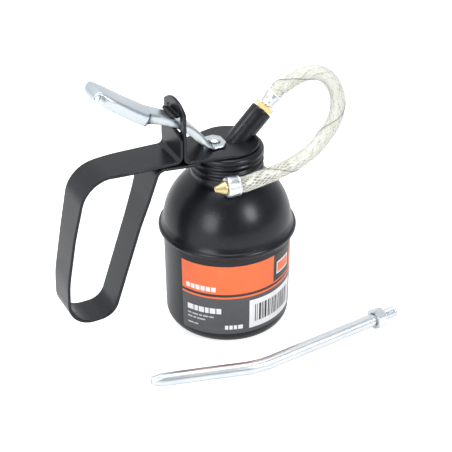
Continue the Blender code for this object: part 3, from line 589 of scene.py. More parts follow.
hoseSizes = {
    "start": (25.609, 0.0, 119.109),        # mm, at the union ferrule
    "axis": (math.sqrt(0.5), 0.0, math.sqrt(0.5)),
    "straight": 4.0,
    "nozzleStart": (-5.6, -22.7, 88.4),
    "nozzleAxis": (-0.997, 0.03, 0.05),
    "radius": 4.1,
    "coreRadius": 3.3,
    "bore": 2.2,
    "braidRadius": 3.42,
    "yarn": 0.165,
    "yarns": 13,
    "yarnPitch": 44.0,
    "tracerPitch": 38.6,
    "tracerPhase": 1.3,
    "tracer": 0.15,
    "crossing": 0.15,       # how far the second set of yarns lies over the first
    "tracerOver": 0.35,
}
hoseLook = {
    "clear": (0.90, 0.91, 0.88),
    "clearAlpha": 0.12,
    "clearRough": 0.16,
    "liningRough": 0.35,
    "coat": 0.35,
    "coatRough": 0.12,
    "liningHigh": (0.71, 0.71, 0.66),
    "liningLow": (0.62, 0.62, 0.56),
    "strokes": (0.46, 0.45, 0.37),
    # painted shade: darker, denser strokes near the nozzle stand in for the dark can seen through the clear
    # hose
    "shadedStrokesAtNozzle": (0.17, 0.155, 0.10),
    "strokesPerMm": 0.20,
    "strokeLevel": 0.50,
    "shadedStrokeLevelAtNozzle": 0.40,
    "strokeEdge": 0.10,
    "shadeFrom": 42.0,       # mm from the nozzle, where the painted shade begins
    "shadeTo": 6.0,
    "yarnRough": 0.45,
    "yarnHigh": (0.75, 0.75, 0.70),
    "yarnLow": (0.64, 0.64, 0.58),
    "tracerRough": 0.5,
    "tracer": (0.03, 0.035, 0.05),
    "tracerPale": (0.08, 0.085, 0.10),
    "liningCloud": 160.0,
    "yarnCloud": 300.0,
}
hoseRoute = [
    (30.6, -1.4, 123.6), (36.0, -4.6, 128.3), (42.4, -7.6, 130.4), (48.2, -10.4, 128.0),
    (51.7, -13.0, 122.0), (52.0, -15.4, 115.6), (49.4, -17.6, 108.6), (43.6, -19.4, 102.0),
    (35.2, -20.9, 95.9), (25.6, -21.9, 92.2), (16.0, -22.6, 90.4), (7.6, -22.9, 89.4)]


def makeHoseLine(sizes):
    start, axis = Vector(sizes["start"]), Vector(sizes["axis"])
    nozzleAxis = Vector(sizes["nozzleAxis"]).normalized()
    end = Vector(sizes["nozzleStart"]) - nozzleAxis * gap
    route = [start, start + axis * sizes["straight"]] + [Vector(p) for p in hoseRoute]
    route += [end - nozzleAxis * sizes["straight"], end]
    return smoothRoute(route, 12)


def windings(line, radius, pitch, phases, sense):
    # helical threads about a line, one per phase
    threads = []
    rails = alongRoute(line)
    for phase in phases:
        thread = []
        for point, side, up, distance in rails:
            angle = phase + sense * math.tau * distance / pitch
            thread.append(point + (side * math.cos(angle) + up * math.sin(angle)) * radius)
        threads.append(thread)
    return threads


def makeLining(sizes, look, length):
    # pale tube showing in strokes between the yarns; darker, denser strokes near the nozzle are painted
    # shade of the dark can seen through the hose
    material, tree, shader = newMaterial("hoseLining", look["liningHigh"], 0.0, look["liningRough"])
    shader.inputs["Coat Weight"].default_value = look["coat"]
    shader.inputs["Coat Roughness"].default_value = look["coatRough"]
    split = tree.nodes.new("ShaderNodeSeparateXYZ")
    link(tree, tree.nodes.new("ShaderNodeTexCoord").outputs["UV"], split.inputs[0])
    along = mathNode(tree, "MULTIPLY", split.outputs["X"], look["strokesPerMm"])
    skewed = mathNode(tree, "MULTIPLY", split.outputs["X"], 1.0 / sizes["yarnPitch"])
    turned = mathNode(tree, "ADD", split.outputs["Y"], skewed)
    around = mathNode(tree, "MULTIPLY", turned, float(sizes["yarns"]))
    joined = tree.nodes.new("ShaderNodeCombineXYZ")
    link(tree, along, joined.inputs[0])
    link(tree, around, joined.inputs[1])
    strokes = tree.nodes.new("ShaderNodeTexNoise")
    strokes.inputs["Scale"].default_value = 1.0
    strokes.inputs["Detail"].default_value = 1.5
    link(tree, joined.outputs[0], strokes.inputs["Vector"])
    # painted shade: the strokes darken and spread over the last stretch before the nozzle
    shadeFrom, shadeTo = length - look["shadeFrom"], length - look["shadeTo"]
    shadeNearNozzle = mapRange(tree, split.outputs["X"], shadeFrom, shadeTo, 0.0, 1.0)
    lower = mapRange(tree, shadeNearNozzle, 0.0, 1.0, look["strokeLevel"], look["shadedStrokeLevelAtNozzle"])
    upper = mathNode(tree, "ADD", lower, look["strokeEdge"])
    mask = mapRange(tree, strokes.outputs["Fac"], lower, upper, 0.0, 1.0)
    olive = mixColor(tree, shadeNearNozzle, look["strokes"], look["shadedStrokesAtNozzle"])
    pale = mixColor(tree, mottle(tree, look["liningCloud"]), look["liningHigh"], look["liningLow"])
    link(tree, mixColor(tree, mask, pale, olive), shader.inputs["Base Color"])
    return material


def makeYarn(name, rough, scale, first, second):
    material, tree, shader = newMaterial(name, first, 0.0, rough)
    link(tree, mixColor(tree, mottle(tree, scale), first, second), shader.inputs["Base Color"])
    return material


def makeHose(sizes, look):
    line = makeHoseLine(sizes)
    length = sum((b - a).length for a, b in zip(line, line[1:]))
    clear, _, shader = newMaterial("clearVinyl", look["clear"], 0.0, look["clearRough"])
    shader.inputs["Alpha"].default_value = look["clearAlpha"]
    core = makeLining(sizes, look, length)
    scale = look["yarnCloud"]
    yarn = makeYarn("braidYarn", look["yarnRough"], scale, look["yarnHigh"], look["yarnLow"])
    dark = makeYarn("tracerThread", look["tracerRough"], scale, look["tracer"], look["tracerPale"])
    inside = line[1:-1]
    body = polyCurve("deliveryHose", [line], sizes["radius"], clear, 8)
    lining = sweptMesh("hoseLining", line, lambda d, a: sizes["coreRadius"], lambda d, a: sizes["bore"])
    lining = addPiece("hoseLining", lining, "head", core)
    phases = spread(0.0, math.tau, sizes["yarns"])[:-1]
    radius, pitch = sizes["braidRadius"], sizes["yarnPitch"]
    threads = windings(inside, radius, pitch, phases, 1)
    threads += windings(inside, radius + sizes["crossing"], pitch, phases, -1)
    braid = polyCurve("hoseBraid", threads, sizes["yarn"], yarn, 1)
    over = radius + sizes["tracerOver"]
    lines = windings(inside, over, sizes["tracerPitch"], [sizes["tracerPhase"]], 1)
    tracer = polyCurve("hoseTracer", lines, sizes["tracer"], dark, 2)
    for piece in (body, braid, tracer):
        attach(piece, "head")
    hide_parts("delivery_hose")
    return body, [lining, braid, tracer], line, length


hoseBody, hoseInsides, hoseLine, hoseLength = makeHose(hoseSizes, hoseLook)
print("hose length mm:", round(hoseLength, 1))


# reservoir: drawn cup and dome, joined at the rolled bead; the neck carries a rolled thread

canSizes = {
    "sheet": 0.8,
    "footRadius": 31.2,
    "rimRadius": 31.9,
    "corner": 7.3,
    "rimHeight": 54.7,
    "domeRadius": 32.1,
    "domeCentre": 56.0,
    "beadRadius": 34.4,
    "beadHeight": 54.1,
    "beadRound": 1.8,
    "lipHeight": 51.9,
    "neckSheet": 0.6,
    "neckCrest": 16.9,
    "neckTop": 95.7,
    "neckFillet": 1.9,
    "filletCorner": (0.1, 0.7),     # out from the crest, up from the dome's top edge
    "domeFoot": 4,                  # degrees
    "beadArc": (72, -65),
    "threadLow": 84.0,
    "threadTop": 95.1,
    "steps": 144,
}
threadSizes = {"pitch": 3.5, "depth": 1.0, "runout": 1.2, "rowsPerPitch": 20}


def rolledThread(low, high, lip, crest):
    # radius of a wall with the thread pressed in
    # above high it runs out to the crest where lip is 0, or to the root where lip is 1
    pitch, depth, runout = threadSizes["pitch"], threadSizes["depth"], threadSizes["runout"]

    def reshape(angle, height, radius):
        if height < low or radius < crest - 2.0 * depth:
            return radius
        turned = angle if angle <= math.pi else angle - math.tau
        rise = min(1.0, (height - low) / runout)
        fall = max(0.0, min(1.0, (high - height) / runout))
        wave = 0.5 - 0.5 * math.cos(math.tau * height / pitch - turned)
        return radius - depth * rise * (wave * fall + lip * (1.0 - fall))
    return reshape


def threadRows(radius, high, low):
    count = math.ceil((high - low) / threadSizes["pitch"] * threadSizes["rowsPerPitch"])
    return [(radius, z) for z in spread(high, low, count)]


def offsetProfile(points, thickness):
    # the profile set inwards by the sheet's thickness, in reverse order
    out = []
    for i, (radius, height) in enumerate(points):
        before, after = points[max(i - 1, 0)], points[min(i + 1, len(points) - 1)]
        ahead = Vector((after[0] - before[0], after[1] - before[1])).normalized()
        out.append((max(0.0, radius + ahead.y * thickness), height - ahead.x * thickness))
    return out[::-1]


def makeCup(sizes):
    foot, corner = sizes["footRadius"], sizes["corner"]
    wall = zip(spread(sizes["rimRadius"], foot, 8), spread(sizes["rimHeight"], corner, 8))
    outer = list(wall) + arcPoints((foot - corner, corner), corner, 0, -90, 18)[1:]
    outer += [(8.0, 0.0), (0.0, 0.0)]
    mesh = latheMesh("reservoirCup", outer + offsetProfile(outer, sizes["sheet"]), sizes["steps"])
    return addPiece("reservoirCup", mesh, "reservoir", paint, ["reservoir_cup"])


def makeDome(sizes):
    crest, low = sizes["neckCrest"], sizes["threadLow"]
    outer = threadRows(crest, sizes["neckTop"], low)
    footAngle = math.asin((crest + sizes["neckFillet"]) / sizes["domeRadius"])
    centre, foot = (0.0, sizes["domeCentre"]), 90 - math.degrees(footAngle)
    shoulder = arcPoints(centre, sizes["domeRadius"], foot, sizes["domeFoot"], 44)
    corner = (crest + sizes["filletCorner"][0], shoulder[0][1] + sizes["filletCorner"][1])
    for t in spread(0.0, 1.0, 7)[1:-1]:     # soft fillet from the neck to the dome
        outer.append(tuple((1 - t) ** 2 * a + 2 * t * (1 - t) * c + t * t * b
                           for a, c, b in zip((crest, low), corner, shoulder[0])))
    bead = (sizes["beadRadius"] - sizes["beadRound"], sizes["beadHeight"])
    outer += shoulder + arcPoints(bead, sizes["beadRound"], *sizes["beadArc"], 14)
    outer.append((sizes["rimRadius"] + gap + sizes["sheet"], sizes["lipHeight"]))
    outer += offsetProfile(outer, sizes["neckSheet"])
    reshape = rolledThread(low, sizes["threadTop"], 1.0, crest)
    mesh = latheMesh("reservoirDome", outer, sizes["steps"], reshape)
    return addPiece("reservoirDome", mesh, "reservoir", paint, ["reservoir_dome"])


capSizes = {
    "crest": 17.9,
    "sheet": 0.6,
    "top": 98.2,
    "flat": 11.0,
    "corner": 2.0,
    "skirt": 84.2,
    "neckLip": 95.7,
    "rodHole": (-6.7, 3.9),     # x, radius
    "outletHole": (6.0, 3.6),
}


def cutHole(obj, centre, radius, low, high, reach=0.0):
    # drill an upright hole through a piece; the reach draws it out backwards to a slot
    profile = [(0.0, high), (radius, high), (radius, low), (0.0, low)]
    mesh = latheMesh("drill", profile, 48)
    for vertex in mesh.vertices:
        if vertex.co.x < -0.01 * mm:
            vertex.co.x -= reach * mm
    mesh.transform(Matrix.Translation(Vector((centre, 0.0, 0.0)) * mm))
    drill = bpy.data.objects.new("drill", mesh)
    scene.collection.objects.link(drill)
    step = obj.modifiers.new("Hole", "BOOLEAN")
    step.operation = "DIFFERENCE"
    step.solver = "EXACT"
    step.object = drill
    graph = bpy.context.evaluated_depsgraph_get()
    cut = bpy.data.meshes.new_from_object(obj.evaluated_get(graph))
    obj.modifiers.clear()
    obj.data = cut
    bpy.data.objects.remove(drill)


def makeCap(sizes):
    crest, top, corner, skirt = (sizes[key] for key in ("crest", "top", "corner", "skirt"))
    outer = [(0.0, top), (sizes["flat"], top)] + arcPoints((crest - corner, top - corner), corner, 90, 0, 10)
    outer += threadRows(crest, top - corner - 0.4, skirt + 0.6) + [(crest + 0.1, skirt)]
    reshape = rolledThread(skirt + 1.2, sizes["neckLip"], 0.0, crest)
    mesh = latheMesh("screwCap", outer + offsetProfile(outer, sizes["sheet"]), canSizes["steps"], reshape)
    cap = addPiece("screwCap", mesh, "head", paint, ["screw_cap"])
    for centre, radius in (sizes["rodHole"], sizes["outletHole"]):
        cutHole(cap, centre, radius, top - 2.0, top + 2.0)
    return cap


makeCup(canSizes)
makeDome(canSizes)
makeCap(capSizes)
print("reservoir and cap made")


# bracket strap: disc on the cap, tall tab with the lever's window, tongue bent out over the lever; the
# tongue's size also covers shade on the lever (painted shade)

bracketSizes = {
    "sheet": 1.5,
    "rolled": 0.34,
    "discTop": 100.0,
    "discRadius": 15.5,
    "half": 11.0,
    "tabFace": -28.1,
    "bend": 3.0,
    "shoulder": 24.7,       # heights above the disc's top face
    "top": 29.2,
    "windowHalf": 6.7,
    "windowLow": 13.0,
    "windowHigh": 24.0,
    "windowCorner": 1.2,
    "windowSlope": (2.6, 1.0),      # the sides lean in between these distances below the top
    "notch": 0.9,
    # the lip's width and reach are also made large enough that its black sheet covers the shade on the lever
    # around it: partly painted shade
    "lipHalf": 5.6,
    "lipReach": 3.5,
    "lipFoot": 21.3,
    "lipRoot": 25.2,
    "lipBend": 1.2,
    "lipRise": 0.6,         # height won per length
    "lipCorner": 1.0,
}


def windowOutline(sizes, low, high):
    # ring of the lever's window, with a relief notch on each side of the lip's root
    side, lip, notch, bend = (sizes[key] for key in ("windowHalf", "lipHalf", "notch", "windowCorner"))
    lower, upper = (high - drop for drop in sizes["windowSlope"])
    ring = []
    for u, v, start in ((low + bend, side - bend, 90), (low + bend, bend - side, 180)):
        ring += arcPoints((u, v), bend, start, start + 90, 4)
    ear = notch / 2
    ring += [(lower, -side), (upper, -lip - notch)]
    ring += arcPoints((high, -lip - ear), ear, 270, 450, 6) + arcPoints((high, lip + ear), ear, -90, 90, 6)
    return ring + [(upper, lip + notch), (lower, side)]


def makeBracket(sizes):
    middle = sizes["discTop"] - sizes["sheet"] / 2
    tabX = sizes["tabFace"] + sizes["sheet"] / 2
    lead = 16.0
    corners = [(lead, middle, 0.0, 0.0), (tabX, middle, 0.0, sizes["bend"]),
               (tabX, sizes["discTop"] + sizes["top"] + 2.0, 0.0, 0.0)]
    path = filletPath(corners, 6.0)
    flat = -tabX - sizes["bend"]                       # u where the bend starts
    risen = flat + sizes["bend"] * math.pi / 2         # u where it ends, at height middle + bend

    def up(height):     # u of a height above the disc's top face, on the tab
        return risen + height + sizes["sheet"] / 2 - sizes["bend"]

    radius = sizes["discRadius"]
    turns = [math.radians(a) for a in range(4, 102, 4)]
    stations = [(-radius * math.cos(turn), radius * math.sin(turn)) for turn in turns]
    stations += [(flat - 2.0, sizes["half"]), (up(sizes["shoulder"]) - 1.0, sizes["half"])]
    stations += archedEnd(up(sizes["shoulder"]), up(sizes["top"]), sizes["half"], 14)
    stations.append((up(sizes["top"]), 0.12))
    turns = [math.tau * i / 40 for i in range(40)]
    holes = [[(r * math.cos(turn) - x, r * math.sin(turn)) for turn in turns]
             for x, r in (capSizes["rodHole"], capSizes["outletHole"])]
    holes.append(windowOutline(sizes, up(sizes["windowLow"]), up(sizes["windowHigh"])))
    blank = flatBlank(mirroredOutline(stations), holes, sizes["sheet"], sizes["rolled"])
    mesh = bendBlank("topBracket", blank, path, -lead)
    return evenShading(addPiece("topBracket", mesh, "head", paint, ["top_bracket"]))


# a lip bent out of the tab over the lever; its black sheet also stands in for the shade on the lever beside
# and under it (painted shade)
def makeWindowLip(sizes):
    tabX = sizes["tabFace"] + sizes["sheet"] / 2
    root, crook = sizes["discTop"] + sizes["lipRoot"], sizes["discTop"] + sizes["lipFoot"]
    far = (sizes["tabFace"] - sizes["lipReach"], crook + sizes["lipReach"] * sizes["lipRise"])
    path = filletPath([(tabX, root, 0.0, 0.0), (tabX, crook, 0.0, sizes["lipBend"]), (*far, 0.0, 0.0)], 8.0)
    reach = sum(math.hypot(b[0] - a[0], b[1] - a[1]) for a, b in zip(path, path[1:]))
    half, corner = sizes["lipHalf"], sizes["lipCorner"]
    outline = mirroredOutline([(0.0, half)] + arcPoints((reach - corner, half - corner), corner, 90, 0, 4))
    mesh = bendBlank("windowLip", flatBlank(outline, [], sizes["sheet"], sizes["rolled"]), path, 0.0)
    return evenShading(addPiece("windowLip", mesh, "head", paint))


makeBracket(bracketSizes)
makeWindowLip(bracketSizes)


# loop handle: one strip, waisted where the hand holds it, its front end turned up before the tall tab

handleSizes = {
    "sheet": 1.5,
    "rolled": 0.34,
    "half": 10.8,
    "shoulder": 11.7,       # heights above the disc's top face
    "top": 15.2,
    "endCorner": 1.5,
    "spacing": 2.5,
    "corners": [            # x, z, half width, bend radius
        (-18.7, 97.45, 10.8, 0.0), (-25.5, 97.45, 10.8, 12.0), (-41.0, 99.05, 10.8, 4.0),
        (-46.3, 81.8, 9.4, 60.0), (-50.6, 69.8, 8.5, 60.0), (-66.2, 23.8, 8.5, 9.5),
        (-89.0, 23.3, 8.5, 12.0), (-88.3, 47.0, 8.5, 60.0), (-84.0, 71.0, 8.5, 60.0),
        (-77.3, 101.1, 9.6, 16.0), (-58.0, 101.1, 10.8, 0.0), (-29.15, 100.6, 10.8, 3.0)],
}


def makeHandle(sizes):
    half, discTop = sizes["half"], bracketSizes["discTop"]
    frontX = sizes["corners"][-1][0]
    shoulder, top = discTop + sizes["shoulder"], discTop + sizes["top"]
    path = filletPath(sizes["corners"] + [(frontX, shoulder - 1.0, half, 0.0)])
    path = evenHalves(dividePath(path, sizes["spacing"]), 6)
    reach = [0.0]
    for a, b in zip(path, path[1:]):
        reach.append(reach[-1] + math.hypot(b[0] - a[0], b[1] - a[1]))
    archLow = reach[-1] + 1.0
    archTop = archLow + top - shoulder
    corner = sizes["endCorner"]
    stations = arcPoints((corner, half - corner), corner, 180, 90, 4)
    stations += [(u, p[2]) for u, p in zip(reach, path) if u > 2.0]
    stations += archedEnd(archLow, archTop, half, 12)
    stations.append((archTop, 0.12))
    path += [(frontX, shoulder, 0.0), (frontX, top + 1.0, 0.0)]
    blank = flatBlank(mirroredOutline(stations), [], sizes["sheet"], sizes["rolled"])
    mesh = bendBlank("loopHandle", blank, path, 0.0)
    return evenShading(addPiece("loopHandle", mesh, "head", paint, ["loop_handle"]))


makeHandle(handleSizes)
print("bracket and handle made")


# thumb lever: pressed channel with a broad paddle, a narrow neck and a flat foot under the rod's head

leverSizes = {
    "sheet": 1.2,
    "shoulder": 1.8,
    "footTop": 101.5,
    "slotRadius": 1.95,
    "slotReach": 4.75,
    "slotHeights": (-3.0, 6.0),     # about the foot's top face
    "shape": [              # x, height above the foot, half width, flange depth
        (-69.7, 38.2, 4.6, 1.2), (-69.5, 39.9, 5.4, 1.2), (-68.7, 41.3, 6.2, 1.2), (-67.4, 42.1, 6.6, 1.2),
        (-66.2, 42.2, 7.0, 1.2), (-65.6, 42.0, 7.3, 1.3), (-65.3, 41.8, 7.5, 4.9), (-64.4, 41.2, 8.0, 5.5),
        (-62.9, 40.1, 8.7, 5.6), (-60.0, 38.0, 9.2, 5.6), (-55.0, 34.3, 9.2, 5.6), (-50.0, 30.6, 9.2, 5.6),
        (-44.6, 27.0, 9.2, 5.6), (-43.6, 26.4, 8.8, 5.6), (-42.8, 26.0, 7.6, 5.5), (-41.8, 25.5, 6.7, 5.2),
        (-40.0, 24.7, 6.2, 5.0), (-37.0, 23.4, 5.8, 4.8), (-34.0, 22.0, 5.8, 4.5), (-31.0, 20.4, 5.8, 4.2),
        (-28.0, 18.6, 5.8, 4.0), (-25.0, 16.4, 5.8, 3.8), (-22.0, 14.4, 5.8, 4.0), (-19.0, 11.8, 5.8, 4.3),
        (-16.0, 8.4, 5.9, 4.4), (-13.4, 4.7, 6.1, 3.6), (-11.8, 2.0, 6.4, 2.1), (-10.8, 0.6, 6.5, 1.3),
        (-9.8, 0.0, 6.4, 1.2), (-8.8, 0.0, 6.4, 1.2), (-4.9, 0.0, 6.4, 1.2), (-2.3, 0.0, 3.6, 1.2)],
    "perSpan": 5,
}


def channelLoop(half, flange, sheet, shoulder):
    # closed section of the channel as (y, drop): over the top from edge to edge, then back inside
    bend = min(shoulder, flange * 0.5) if flange < 2.0 else shoulder
    edge = 0.25
    wall, inner = half - sheet, max(0.1, bend - sheet)
    right = arcPoints((half - bend, -bend), bend, 90, 0, 5)
    right += [(half, -flange + edge), (half - edge, -flange)]
    inside = [(wall + min(edge, flange - sheet), -flange), (wall, min(-sheet - inner, -flange + edge))]
    inside += arcPoints((wall - inner, -sheet - inner), inner, 0, 90, 3)
    right += [(y, max(drop, -flange)) for y, drop in inside]
    return right + [(-y, drop) for y, drop in reversed(right)]


def makeLever(sizes):
    foot, perSpan = sizes["footTop"], sizes["perSpan"]
    shape = sizes["shape"]
    line = smoothRoute([(x, 0.0, foot + rise) for x, rise, half, flange in shape], perSpan)
    bm = bmesh.new()
    rows = []
    for i, place in enumerate(line):
        span, share = min(i // perSpan, len(shape) - 2), (i % perSpan) / perSpan
        if i == len(line) - 1:
            share = 1.0
        half, flange = (a + (b - a) * share for a, b in zip(shape[span][2:], shape[span + 1][2:]))
        ahead = (line[min(i + 1, len(line) - 1)] - line[max(i - 1, 0)]).normalized()
        up = Vector((-ahead.z, 0.0, ahead.x))
        row = []
        for y, drop in channelLoop(half, flange, sizes["sheet"], sizes["shoulder"]):
            row.append(bm.verts.new(place + up * drop + Vector((0.0, y, 0.0))))
        rows.append(row)
    count = len(rows[0])
    for a, b in zip(rows, rows[1:]):
        for j in range(count):
            k = (j + 1) % count
            bm.faces.new((a[j], b[j], b[k], a[k]))
    for row in (rows[0], rows[-1]):
        bm.faces.new(row)
    mesh = meshFrom("thumbLever", bm)
    lever = addPiece("thumbLever", mesh, "lever", zinc, ["lever"], sharp=50)
    low, high = (foot + height for height in sizes["slotHeights"])
    cutHole(lever, capSizes["rodHole"][0], sizes["slotRadius"], low, high, sizes["slotReach"])
    return lever


makeLever(leverSizes)


# pump rod: domed head over the lever's foot

rodSizes = {"x": -6.7, "radius": 1.5, "headRadius": 2.9, "headHeight": 0.9, "under": 101.8, "low": 51.8}


def makeRod(sizes):
    radius, rim, rise = sizes["radius"], sizes["headRadius"], sizes["headHeight"]
    under, low = sizes["under"], sizes["low"]
    dome = (rim ** 2 + rise ** 2) / (2 * rise)
    widest = math.degrees(math.asin(rim / dome))
    top = under + 0.5 + rise
    profile = [(0.0, top)] + arcPoints((0.0, top - dome), dome, 90, 90 - widest, 12)[1:]
    profile += [(rim + 0.02, under + 0.35), (rim - 0.12, under), (radius, under)]
    profile += [(radius, low + 0.3), (radius - 0.3, low), (0.0, low)]
    mesh = latheMesh("pumpRod", profile, 48)
    mesh.transform(Matrix.Translation(Vector((sizes["x"], 0, 0)) * mm))
    return addPiece("pumpRod", mesh, "rod", steel, ["pump_rod"])


makeRod(rodSizes)
print("lever and rod made")


# spout tube, union, ferrules and nozzle

spoutSizes = {
    "start": (6.8, 0.0, 100.3),
    "axis": (math.sqrt(0.5), 0.0, math.sqrt(0.5)),
    "radius": 5.5,
    "bore": 3.5,
    "length": 17.1,
    "chamfer": 0.8,
    "hexFlats": 9.2,
    "hexThick": 2.4,
    "hexTurn": 30.0,        # degrees
    "spigot": 3.2,
    "spigotLength": 5.0,
    "barb": 2.1,
    "unionBore": 1.2,
    "ferruleLength": 6.2,
    "ferruleRadius": 4.1,
    "ferruleCrimp": [       # inset from the radius, height
        (0.0, 4.2), (0.1, 3.8), (0.5, 2.7), (0.6, 2.3), (0.6, 0.6), (0.9, 0.0)],
}


hexSizes = {
    "softened": 0.985,      # share of the corner's radius
    "chamfer": 0.07,
    "holeShare": 0.43,      # share of the flats
}


def hexReshape(flats, low, high):
    # radius of a chamfered hexagon
    softened, chamfer = hexSizes["softened"], hexSizes["chamfer"]
    corner = flats / math.sqrt(3)

    def reshape(angle, height, radius):
        if radius < flats * hexSizes["holeShare"]:
            return radius
        off = (angle + math.pi / 6) % (math.pi / 3) - math.pi / 6
        flat = flats / 2 / math.cos(off)
        inset = max(0.0, 1.0 - min(height - low, high - height) / (corner * chamfer))
        return min(flat, corner * softened, corner * (1.0 - chamfer * inset))
    return reshape


def hexRows(flats, low, high):
    # profile rows down a hexagon's side, close together on its chamfers
    corner = flats / math.sqrt(3)
    band = corner * hexSizes["chamfer"]
    rows = spread(high, high - band, 4) + spread(low + band, low, 4)
    return [(corner, z) for z in rows]


def makeSpout(sizes):
    end, radius, bore, chamfer = sizes["length"], sizes["radius"], sizes["bore"], sizes["chamfer"]
    low = -2 * radius
    profile = [(bore + 0.3, end)] + arcPoints((radius - chamfer, end - chamfer), chamfer, 90, 0, 5)
    profile += [(radius, z) for z in spread(end - chamfer, low, 8)[1:]]
    profile += [(bore, low), (bore, end - 0.3)]
    mesh = standAlong(latheMesh("spoutTube", profile, 72), sizes["start"], sizes["axis"])
    bm = bmesh.new()
    bm.from_mesh(mesh)
    everything = bm.verts[:] + bm.edges[:] + bm.faces[:]
    foot = Vector((0.0, 0.0, sizes["start"][2] - 0.25)) * mm
    bmesh.ops.bisect_plane(bm, geom=everything, plane_co=foot, plane_no=(0, 0, -1), clear_outer=True)
    rims = [e for e in bm.edges if e.is_boundary]
    bmesh.ops.bridge_loops(bm, edges=rims)
    mesh = meshFrom("spoutTube", bm, 1.0)
    return addPiece("spoutTube", mesh, "head", paint, ["spout_tube"])


def makeUnion(sizes):
    low = sizes["length"] + gap
    high = low + sizes["hexThick"]
    top, bore, barb = high + sizes["ferruleLength"], sizes["unionBore"], sizes["barb"]
    profile = [(bore, top), (barb, top), (barb, high)] + hexRows(sizes["hexFlats"], low, high)
    spigot, foot = sizes["spigot"], low - sizes["spigotLength"]
    profile += [(spigot, low), (spigot, foot), (bore, foot)]
    mesh = latheMesh("hoseUnion", profile, 96, hexReshape(sizes["hexFlats"], low, high))
    standAlong(mesh, sizes["start"], sizes["axis"], sizes["hexTurn"])
    return addPiece("hoseUnion", mesh, "head", brass, ["hose_union"], sharp=25)


def makeUnionFerrule(sizes):
    low = sizes["length"] + 2 * gap + sizes["hexThick"]
    high = low + sizes["ferruleLength"]
    radius, bore = sizes["ferruleRadius"], sizes["barb"] + gap
    profile = [(radius - 0.25, high), (radius, high - 0.3)]
    profile += [(radius - inset, low + height) for inset, height in sizes["ferruleCrimp"]]
    profile += [(bore, low), (bore, high)]
    mesh = standAlong(latheMesh("unionFerrule", profile, 72), sizes["start"], sizes["axis"])
    return addPiece("unionFerrule", mesh, "head", paleAndLitZinc, ["union_ferrule"])


nozzleSizes = {
    "radius": 5.15,
    "shoulder": 1.5,
    "length": 6.8,
    "bore": 2.0,
    "base": 3.3,
    "tip": 1.4,
    "tipLength": 4.8,
    "hole": 0.75,
    "facets": 10,
    "facetDepth": 0.022,
    "crimp": [              # inset from the radius, height
        (0.1, 3.4), (0.3, 1.6), (0.38, 1.0), (0.15, 0.7), (0.1, 0.35), (0.3, 0.0)],
}


def makeNozzleFerrule(sizes):
    length, outer, bore, bend = (sizes[key] for key in ("length", "radius", "bore", "shoulder"))
    profile = [(bore, length), (sizes["base"] + 0.15, length)]
    profile += arcPoints((outer - bend, length - bend), bend, 80, 0, 8)
    profile += [(outer - inset, height) for inset, height in sizes["crimp"]] + [(bore, 0.0)]
    mesh = latheMesh("nozzleFerrule", profile, 96)
    standAlong(mesh, hoseSizes["nozzleStart"], hoseSizes["nozzleAxis"])
    return addPiece("nozzleFerrule", mesh, "head", paleAndLitZinc, ["nozzle_ferrule"])


def makeNozzleTip(sizes):
    low = sizes["length"] + gap
    top = low + sizes["tipLength"]
    hole, stem = sizes["hole"], sizes["bore"] - gap
    cone = [(sizes["tip"] + (sizes["base"] - sizes["tip"]) * t, top - (sizes["tipLength"] - 0.8) * t)
            for t in spread(0.0, 1.0, 10)]
    profile = [(hole, top - 0.25), (hole + 0.2, top), (sizes["tip"] - 0.15, top)] + cone
    profile += [(sizes["base"], low), (stem, low), (stem, 1.0), (hole, 1.0)]

    def faceted(angle, height, radius):     # faint flats of the turning down the cone
        if radius < sizes["tip"] - 0.1 or height < low + 0.3:
            return radius
        return radius * (1.0 - sizes["facetDepth"] * (0.5 + 0.5 * math.cos(sizes["facets"] * angle)))
    mesh = latheMesh("nozzleTip", profile, 80, faceted)
    standAlong(mesh, hoseSizes["nozzleStart"], hoseSizes["nozzleAxis"])
    return addPiece("nozzleTip", mesh, "head", brass, ["nozzle_tip"], sharp=50)


makeSpout(spoutSizes)
makeUnion(spoutSizes)
hoseEnds = [makeUnionFerrule(spoutSizes), makeNozzleFerrule(nozzleSizes), makeNozzleTip(nozzleSizes)]
print("spout, ferrules and nozzle made")


# spare rigid spout that lies beside the can: bent tube, crimped tip, threaded stub and its nut

spareSizes = {
    "tip": (-61.4, -40.1, 3.3),
    "elbow": (-10.1, -54.0, 3.5),
    "end": (73.0, -46.3, 5.2),
    "bend": 45.0,
    "radius": 3.3,
    "bore": 1.5,
    "stub": 14.4,
    "stubRadius": 2.9,
    "nutFlats": 10.0,
    "nutThick": 4.8,
    "nutLow": 0.6,
    "nutTurn": 30.0,        # degrees
    "thread": 1.0,
    "threadDepth": 0.32,
    "threadFrom": 5.0,
    "crimpLength": 7.0,
    "crimpRadius": 2.1,
    "crimpDent": 0.55,
    "edge": (0.4, 0.35),        # depth and length of the rounded edge beside the stub
    "endEdge": (0.45, 0.6),
}


def makeSpareLine(sizes):
    tip, elbow, end = (Vector(sizes[key]) for key in ("tip", "elbow", "end"))
    first, second = (elbow - tip).normalized(), (end - elbow).normalized()
    reach = sizes["bend"] * math.tan(first.angle(second) / 2)
    start, stop = elbow - first * reach, elbow + second * reach
    stubStart = end - second * sizes["stub"]
    line = [tip.lerp(tip + first * 8.0, t) for t in spread(0.0, 1.0, 24)]
    line += [line[-1].lerp(start, t) for t in spread(0.0, 1.0, 6)[1:]]
    line += [start * (1 - t) ** 2 + elbow * 2 * t * (1 - t) + stop * t * t
             for t in spread(0.0, 1.0, 20)[1:]]
    line += [stop.lerp(stubStart - second * 0.4, t) for t in spread(0.0, 1.0, 10)[1:]]
    line += [stubStart + second * d for d in spread(-0.36, 0.0, 3)]
    line += [stubStart.lerp(end, t) for t in spread(0.0, 1.0, 100)[1:]]
    return line, stubStart, second


